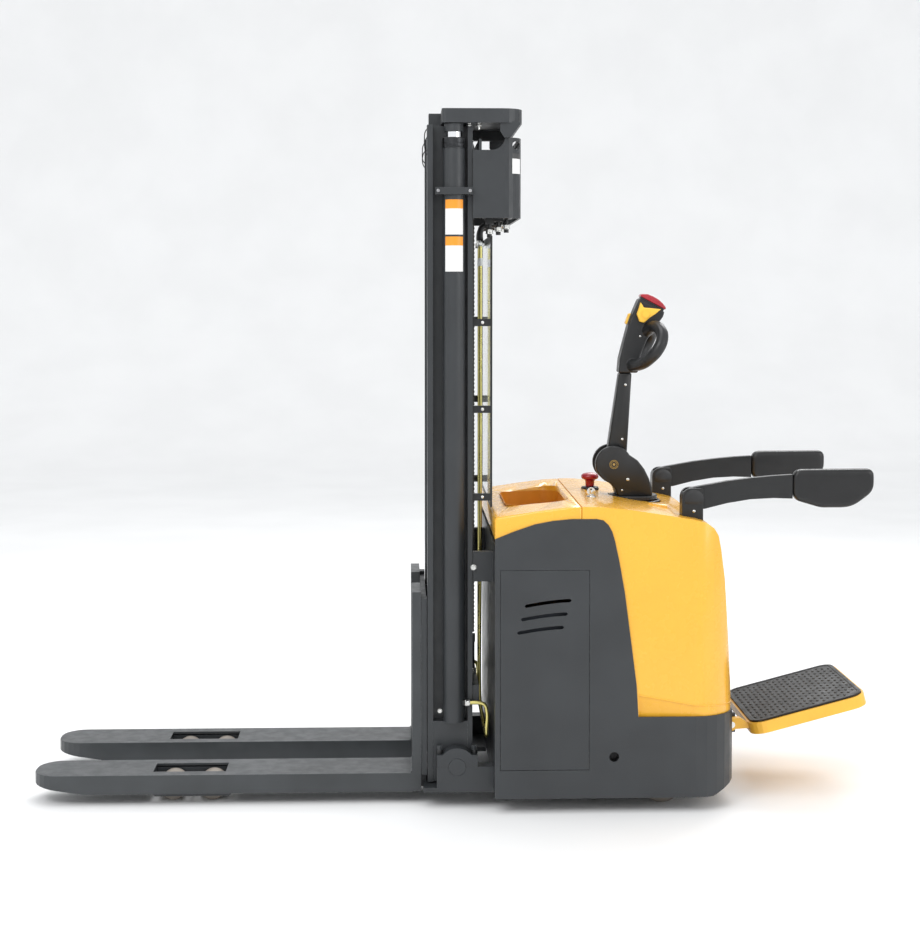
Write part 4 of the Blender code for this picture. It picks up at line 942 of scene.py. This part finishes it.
def hydraulics():
    """Rising pipes with their fittings, and the pipes to the cylinder feet."""
    x = 0.091
    run = [(0.030, -0.305, 0.310), (0.070, -0.305, 0.310), (0.085, -0.305, 0.304),
           (x, -0.305, 0.290), (x, -0.305, 0.225), (x, -0.300, 0.212), (x, -0.285, 0.206)]
    route = run + [(px, -y, z) for px, y, z in reversed(run)]
    pieces = [tube(route, 0.0058)]
    rising = ((0.080, -0.12), (0.088, 0.12))
    for px, y in rising:
        pieces.append(tube([(px, y, 1.700), (px, y, 1.2), (px, y, 0.8), (px, y, 0.270),
                            (px + (x - px) * 0.5, y, 0.232), (x, y, 0.208)], 0.0058))
    piece(joined("pipes", *pieces), "hydraulic_pipe_runs", "chassis", PIPE,
          ["hydraulic_pipes"])
    fittings, bands, elbows = [], [], []
    for px, y in rising:
        fittings.append(hex_nut((px, y, 1.694), 0.022, 0.016))
        elbows.append(tube([(px, y, 1.708), (px, y, 1.738), (px + 0.006, y, 1.752),
                            (px + 0.03, y, 1.758), (px + 0.07, y, 1.760)], 0.0092))
        fittings.append(hex_nut((px + 0.066, y, 1.760), 0.024, 0.014, "X"))
        bands.append(turned([(0.006, 1.632), (0.0068, 1.632), (0.0068, 1.656), (0.006, 1.656)],
                            "Z", (px, y, 0), 24))
    for _, side in SIDES:
        fittings.append(hex_nut((0.027, side * 0.305, 0.310), 0.020, 0.014, "X"))
        elbows.append(turned([(0, 0), (0.0105, 0), (0.0105, 0.004), (0.008, 0.006), (0.008, 0.018),
                              (0, 0.018)], "X", (0.018, side * 0.305, 0.310), 32))
    piece(joined("fittings", *fittings), "pipe_nuts", "chassis", ZINC)
    piece(joined("elbows", *elbows), "pipe_elbows", "chassis", BLACK)
    piece(joined("bands", *bands), "pipe_bands", "chassis", WHITE_BAND)


def valve_fittings():
    """Three fittings under the mast's top cover, each with its nut, stem and block."""
    stems = []
    for k, (hx, y) in enumerate(((0.102, -0.235), (0.130, -0.215), (0.156, -0.190))):
        low = 1.716 + 0.008 * k
        nut = hex_nut((hx, y, low + 0.012), 0.019, 0.013)
        stem = turned([(0, low), (0.0075, low), (0.0075, low + 0.012), (0.0058, low + 0.014),
                       (0.0058, low + 0.060), (0, low + 0.060)], "Z", (hx, y, 0), 32)
        piece(nut, f"valve_fitting_nut_{k}", "chassis", ZINC)
        stems.append(stem)
        stems.append(block((hx - 0.013, hx + 0.013), (y - 0.013, y + 0.013),
                           (low + 0.040, low + 0.066)))
    stems.append(block((0.084, 0.172), (-0.245, -0.160), (1.7735, 1.783)))
    piece(joined("stems", *stems), "valve_fitting_stems", "chassis", BLACK)


def screen():
    carried_over("screen_frame", BLACK, 0.0008)
    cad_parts["mast_screen"].data.materials.clear()
    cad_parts["mast_screen"].data.materials.append(CLEAR)
    screws = []
    for _, side in SIDES:
        for z in (1.459, 1.197, 0.931):
            screws.append(round_screw((0.0797, side * 0.2724, z), 0.005, "Y", side > 0))
    piece(joined("screws", *screws), "screen_screws", "chassis", ZINC)


cylinders()
chains()
mast_steel()
mast_trim()
cover_card()
crosshead_trim()
hydraulics()
valve_fittings()
screen()


# Forks, wheels and casters
def forks():
    for name, _ in SIDES:
        carried_over(f"fork_{name}", FORK_PAINT, 0.0020, 3)
        low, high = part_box(f"fork_{name}")
        heel = high[0] - 0.028
        centre, half, top = (low[1] + high[1]) / 2, (high[1] - low[1]) / 2, 0.092
        bead = weld_bead([(heel - 0.001, centre - half + 0.006, top + 0.0008),
                          (heel - 0.001, centre + half - 0.006, top + 0.0008)], 0.0034)
        sides = [weld_bead([(heel + 0.0275, centre + s * (half - 0.0006), 0.12),
                            (heel + 0.0275, centre + s * (half - 0.0006), 0.55)], 0.0026)
                 for s in (-1, 1)]
        piece(joined("beads", bead, *sides), f"fork_welds_{name}", "carriage", FORK_PAINT)


def rolling_wheel(node_name, radius, half, bore, tread, hub):
    """Tread with rounded shoulders, its hub, and a sealed bearing on each face."""
    low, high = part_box(node_name)
    place = ((low[0] + high[0]) / 2, (low[1] + high[1]) / 2, (low[2] + high[2]) / 2)
    core, shoulder = radius * 0.70, radius * 0.10
    tyre = [(core, -half + 0.0008)]
    tyre += arc((radius - shoulder, shoulder - half), shoulder, -90, 0, 6)
    tyre = [*tyre, *[(r, -h) for r, h in reversed(tyre)], tyre[0]]
    piece(turned(tyre, "Y", place, 64), f"{node_name}_tread", node_name, tread,
          [node_name])
    race = [(bore, half - 0.0035), (bore * 1.35, half - 0.0035), (bore * 1.35, half - 0.0045),
            (core * 0.62, half - 0.0045), (core * 0.62, half - 0.0010), (core * 0.70, half - 0.0004),
            (core * 0.78, half - 0.0010), (core * 0.80, half - 0.0040), (core * 0.97, half - 0.0040),
            (core + 0.0004, half - 0.0012)]
    race = [*race, *[(r, -h) for r, h in reversed(race)], race[0]]
    piece(turned(race, "Y", place, 56), f"{node_name}_hub", node_name, hub)


def wheels():
    for name, _ in SIDES:
        for end in ("front", "rear"):
            rolling_wheel(f"load_wheel_{name}_{end}", 0.041, 0.035, 0.0085, WHEEL, STEEL)
        rolling_wheel(f"caster_wheel_{name}", 0.0625, 0.020, 0.0066, WHEEL, STEEL)
        carried_over(f"load_bogie_{name}", STEEL, 0.0006)
        carried_over(f"caster_fork_{name}", STEEL, 0.0008)
    rolling_wheel("drive_wheel", WHEEL_Z, 0.0375, 0.0188, TYRE, STEEL)
    carried_over("drive_unit", BATTERY, 0.0016)
    bolts = []
    for x, z in arc((DRIVE_X, WHEEL_Z), 0.050, 0, 300, 5):
        bolts.append(cap_screw((x, -0.0325, z), 0.007, 0.0042, "Y"))
    piece(joined("bolts", *bolts), "drive_wheel_bolts", "drive_wheel", ZINC)


# Tiller
def tiller_base():
    px, pz = PIVOT.x, PIVOT.z
    outline = [*arc((px, pz), 0.058, 30, 214, 30), (px - 0.030, pz - 0.051),
               (px - 0.009, pz - 0.062), (px + 0.006, pz - 0.080), (px + 0.013, pz - 0.1015),
               (px + 0.124, pz - 0.1015), (px + 0.121, pz - 0.073), (px + 0.112, pz - 0.045),
               (px + 0.097, pz - 0.015), (px + 0.076, pz + 0.012)]
    housing = bevelled(plate(outline, "XZ", -0.052, 0.052), 0.0055, 4, 28)
    slot = block((px - 0.08, px + 0.15), (-0.0305, 0.0305), (pz - 0.040, pz + 0.1))
    disc = turned([(0, 0.8925), (0.074, 0.8925), (0.077, 0.8945), (0.077, 0.9045), (0.0755, 0.907),
                   (0, 0.907)], "Z", (DRIVE_X, 0, 0), 72)
    housing = cut(applied(housing), slot)
    piece(joined("housing", housing, disc), "tiller_housing", "steer", BLACK_PLASTIC,
          ["tiller_base"], 30)
    caps, screws = [], []
    for side in (-1, 1):
        ring = turned([(0.0, 0.0010), (0.0040, 0.0010), (0.0048, -0.0008), (0.0075, -0.0008),
                       (0.0085, 0.0014), (0.0100, 0.0014), (0.0106, -0.0002), (0.0116, -0.0002),
                       (0.0124, 0.0018), (0.0140, 0.0018), (0.0146, 0.0008), (0.0146, -0.002),
                       (0.0, -0.002)], "Z", (0, 0, 0), 56)
        caps.append(placed(ring, (px, side * 0.052, pz), "Y", side > 0))
        screws.append(round_screw((px + 0.044, side * 0.052, pz - 0.048), 0.0055, "Y", side > 0))
        screws.append(round_screw((px + 0.026, side * 0.052, pz - 0.082), 0.0035, "Y", side > 0))
    caps.append(bar(0.0125, -0.045, 0.045, "Y", (px, 0, pz), 40))
    piece(joined("caps", *caps), "tiller_pivot_pin", "steer", BRASS)
    piece(joined("screws", *screws), "tiller_base_screws", "steer", ZINC)


def tiller_arm():
    arm = bevelled(plate([(0.486, 1.030), (0.505, 1.160), (0.5255, 1.2950), (0.565, 1.2950),
                          (0.5575, 1.160), (0.550, 1.030)], "XZ", -0.027, 0.027), 0.006, 4, 30)
    root = turned([(0, -0.027), (0.034, -0.027), (0.036, -0.025), (0.036, 0.025), (0.034, 0.027),
                   (0, 0.027)], "Y", tuple(PIVOT), 64)
    piece(joined("arm", arm, root), "tiller_arm_tube", "tiller", BLACK,
          ["tiller_arm"], 30)
    screws = [round_screw((x, side * 0.027, z), 0.0045, "Y", side > 0)
              for x, z in ((0.545, 1.258), (0.535, 1.085)) for side in (-1, 1)]
    piece(joined("screws", *screws), "tiller_arm_screws", "tiller", ZINC)


HEAD_TOP = (Vector((0.5875, 1.532)), Vector((0.668, 1.489)))
HEAD_FRONT = (Vector((0.553, 1.4466)), Vector((0.5665, 1.483)))
SWITCH = Vector((0.606, 0, 1.478))


def beside(line, *places):
    """Points at fractions along a line, each moved off it to the line's left."""
    a, b = line
    d = (b - a).normalized()
    return [tuple(a.lerp(b, t) + Vector((-d.y, d.x)) * off) for t, off in places]


def remeshed(obj, voxel, rounds):
    """Moulded skin over joined shapes, with its inner corners filled and softened."""
    remesh = obj.modifiers.new("Remesh", "REMESH")
    remesh.mode = "VOXEL"
    remesh.voxel_size = voxel
    smooth = obj.modifiers.new("Smooth", "SMOOTH")
    smooth.iterations = rounds
    smooth.factor = 0.5
    return applied(obj)


def tiller_head():
    outline = [(0.522, 1.2955), (0.5257, 1.340), (0.5378, 1.389), *HEAD_FRONT, *HEAD_TOP,
               (0.663, 1.473), (0.640, 1.440), (0.612, 1.400), (0.592, 1.350), (0.5836, 1.2955)]
    body = bevelled(plate([tuple(p) for p in outline], "XZ", -0.0338, 0.0338), 0.005, 3, 25)
    loops = []
    for _, side in SIDES:
        route = [(0.610, 0.020, 1.426), (0.630, 0.060, 1.443), (0.643, 0.098, 1.434),
                 (0.646, 0.128, 1.408), (0.633, 0.138, 1.376), (0.608, 0.120, 1.344),
                 (0.583, 0.075, 1.324), (0.562, 0.020, 1.320)]
        loops.append(tube([(x, side * y, z) for x, y, z in route], 0.0192))
    head = remeshed(joined("head", body, *loops), 0.0017, 7)
    seam = block((0.50, 0.70), (-0.0005, 0.0005), (1.29, 1.56))
    centre = Vector((0.594, 1.42))
    inner = plate([tuple(Vector(p) + (centre - Vector(p)).normalized() * 0.003)
                   for p in outline], "XZ", -0.002, 0.002)
    head = cut(head, cut(seam, inner))
    piece(head, "tiller_head_shell", "tiller", BLACK_PLASTIC, ["tiller_head"], 50)
    screws = [round_screw((x, side * 0.0338, z), 0.0035, "Y", side > 0)
              for x, z in ((0.556, 1.325), (0.590, 1.412)) for side in (-1, 1)]
    piece(joined("screws", *screws), "tiller_head_screws", "tiller", ZINC)


def head_buttons():
    """Belly button on its seat, and the strip of the lift button."""
    top = beside(HEAD_TOP, (0.0, 0.0066), (1.0, 0.0066), (0.985, 0.014), (0.8, 0.0215),
                 (0.6, 0.0255), (0.4, 0.0262), (0.2, 0.0240), (0.02, 0.0165))
    button = bevelled(plate(top, "XZ", -0.028, 0.028), 0.004, 4, 28)
    pocket = plate(beside(HEAD_TOP, (0.035, 0.0), (0.965, 0.0), (0.965, 0.0115),
                          (0.035, 0.0125)), "XZ", -0.0262, 0.0262)
    piece(cut(applied(button), pocket), "belly_button_cap", "belly_button", RED,
          ["belly_button"])
    collar = plate(beside(HEAD_TOP, (0.05, -0.001), (0.95, -0.001), (0.95, 0.0062),
                          (0.05, 0.0062)), "XZ", -0.0252, 0.0252)
    piece(applied(bevelled(collar, 0.0006, 2)), "belly_button_seat", "tiller", BLACK_PLASTIC)
    strip = plate(beside(HEAD_FRONT, (0.0, 0.0035), (1.0, 0.0035), (0.9, 0.0095),
                         (0.1, 0.0095)), "XZ", -0.016, 0.016)
    piece(applied(bevelled(strip, 0.0015, 3, 25)), "lift_button_cap", "lift_button",
          YELLOW_PLASTIC, ["lift_button"])


def thumb_switch():
    x, z = SWITCH.x, SWITCH.z
    wing = [(x - 0.0165, z + 0.0415), (x - 0.006, z + 0.024), (x + 0.012, z + 0.023),
            (x + 0.048, z + 0.019), (x + 0.030, z + 0.004), (x + 0.012, z - 0.008),
            (x - 0.006, z - 0.024), (x - 0.020, z - 0.020), (x - 0.029, z + 0.004),
            (x - 0.023, z + 0.020)]
    wings, hubs = [], []
    for side in (-1, 1):
        wings.append(bevelled(plate(wing, "XZ", side * 0.0352, side * 0.050), 0.0035, 4, 20))
        hub = turned([(0, 0), (0.0100, 0), (0.0115, -0.001), (0.0115, -0.003), (0, -0.003)], "Z",
                     (0, 0, 0), 40)
        hubs.append(placed(hub, (x - 0.001, side * 0.0512, z + 0.004), "Y", side < 0))
    shaft = bar(0.0078, -0.037, 0.037, "Y", tuple(SWITCH), 32)
    piece(joined("wings", *wings, shaft), "thumb_switch_wings", "thumb_switch", YELLOW_PLASTIC,
          ["thumb_switch"], 40)
    piece(joined("hubs", *hubs), "thumb_switch_hubs", "thumb_switch", YELLOW_PLASTIC)


# Operator's station
def stop_and_key():
    cap = [(0, 0.9668), (0.008, 0.9665), (0.015, 0.9655), (0.0215, 0.9635), (0.0262, 0.9605),
           (0.0282, 0.9570), (0.0284, 0.9535), (0.0272, 0.9490), (0.0240, 0.9460), (0.018, 0.9440),
           (0.0150, 0.9400), (0.0140, 0.9240), (0.0100, 0.9225), (0.0100, 0.895), (0, 0.895)]
    piece(turned(cap, "Z", STOP, 64), "emergency_stop_head", "emergency_stop", RED,
          ["emergency_stop_button"], 40)
    x, y, _ = KEY
    bow = plate(arc((x, 0.932), 0.013, 0, 350, 35), "XZ", y - 0.0015, y + 0.0015,
                [arc((x, 0.9385), 0.0030, 0, 340, 17)])
    shank = turned([(0, 0.890), (0.006, 0.890), (0.006, 0.9215), (0.0052, 0.9225), (0, 0.9225)],
                   "Z", (x, y, 0), 36)
    piece(joined("key", bevelled(bow, 0.0005, 2), shank), "ignition_key_bow", "key", ZINC,
          ["ignition_key"])


def arms():
    for name, side in SIDES:
        carried_over(f"arm_post_{name}", BLACK, 0.0022, 3)
        carried_over(f"guard_arm_{name}", BLACK, 0.0028, 3)
        caps, screws = [], []
        outline = [(ARM[0] + u, ARM[1] - 0.013 + v * 0.92)
                   for u, v in arc((0, 0), 0.030, -38, 218, 32)]
        for face, out in zip(POST_Y, (-1, 1)):
            disc = plate(outline, "XZ", side * face, side * (face + 0.0018 * out))
            caps.append(bevelled(disc, 0.0006, 2, 40))
            screws.append(round_screw((ARM[0], side * face, 0.893), 0.005, "Y", side * out > 0))
        piece(joined("caps", *caps), f"arm_post_cap_{name}", "chassis", BLACK_PLASTIC)
        piece(joined("screws", *screws), f"arm_post_screws_{name}", "chassis", ZINC)
        arm_pad(name, side)


def arm_pad(name, side):
    """Moulded pad: its side outline swelled to a rounded, crowned block."""
    low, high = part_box(f"arm_pad_{name}")
    corners = [(low[0], 0.925, 0.03), (low[0] + 0.085, 0.900, 0.06), (low[0] + 0.180, 0.900, 0.09),
               (high[0], 0.950, 0.045), (high[0], 1.018, 0.02), (low[0], 1.016, 0.025)]
    core = bevelled(plate(rounded(corners, 8), "XZ", low[1], high[1]), 0.012, 4, 40)
    pad = remeshed(joined("core", core), 0.004, 9)
    parting = block((low[0] - 0.1, high[0] + 0.1), (side * 0.3094, side * 0.3106), (0.8, 1.1))
    inner = plate(rounded([(x + (0.003 if x == low[0] else -0.003 if x == high[0] else 0),
                            z + (0.003 if z < 0.96 else -0.003), r) for x, z, r in corners], 8),
                  "XZ", low[1], high[1])
    pad = cut(pad, cut(parting, inner))
    piece(pad, f"arm_pad_skin_{name}", f"guard_arm_{name}", PAD_SKIN,
          [f"arm_pad_{name}"], 50)


# Platform
def platform():
    """Frame with rolled edges, and a mat with rows of raised studs inside a plain border."""
    carried_over("platform_frame", YELLOW_STEEL, 0.0030, 4)
    turn = Matrix.Translation((0.862, 0, 0.205)) @ Matrix.Rotation(math.radians(-14.7), 4, "Y")
    near, far, half = 0.057, 0.4177, 0.218

    def plan(inset):
        u, v, w, corner = near + inset, far - inset, half - inset, 0.043 - inset
        return rounded([(u, -w, corner), (v, -w, corner), (v, w, corner), (u, w, corner)], 10)
    sheet = plate(plan(0.0), "XY", -0.0037, 0.0010)
    edge = cut(plate(plan(0.0), "XY", 0.0008, 0.0024), plate(plan(0.012), "XY", 0.0, 0.01))
    studs = bmesh.new()
    pitch, wide = 0.0168, 0.034
    rows, columns = int((far - near - 0.040) / pitch), int((2 * half - 0.050) / wide)
    for i in range(rows + 1):
        for j in range(columns + i % 2):
            u = (near + far) / 2 + (i - rows / 2) * pitch
            v = (j - (columns - 1 + i % 2) / 2) * wide
            corner = Vector((abs(u - (near + far) / 2) - (far - near) / 2 + 0.052,
                             abs(v) - half + 0.052))
            if min(corner) > 0 and corner.length > 0.034:
                continue
            made = bmesh.ops.create_cone(studs, cap_ends=True, segments=12, radius1=0.0050,
                                         radius2=0.0034, depth=0.0026)
            for vert in made["verts"]:
                vert.co = Vector((u + vert.co.x, v + vert.co.y * 2.1, vert.co.z + 0.0020))
    mat = joined("mat", bevelled(sheet, 0.0006, 2), bevelled(edge, 0.0006, 2),
                 from_bmesh(studs, "studs"))
    mat.data.transform(turn)
    piece(mat, "platform_mat_studs", "platform", RUBBER, ["platform_mat"], 40)
    ends = []
    for side in (-1, 1):
        for y, out in ((0.178, 1), (0.132, -1)):
            end = turned([(0, 0), (0.009, 0), (0.010, -0.001), (0.010, -0.0025), (0, -0.0025)],
                         "Z", (0, 0, 0), 32)
            ends.append(placed(end, (0.862, side * (y + 0.0008 * out), 0.205), "Y",
                               side * out < 0))
    piece(joined("ends", *ends), "platform_pin_ends", "chassis", ZINC)


forks()
wheels()
tiller_base()
tiller_arm()
tiller_head()
head_buttons()
thumb_switch()
stop_and_key()
arms()
platform()
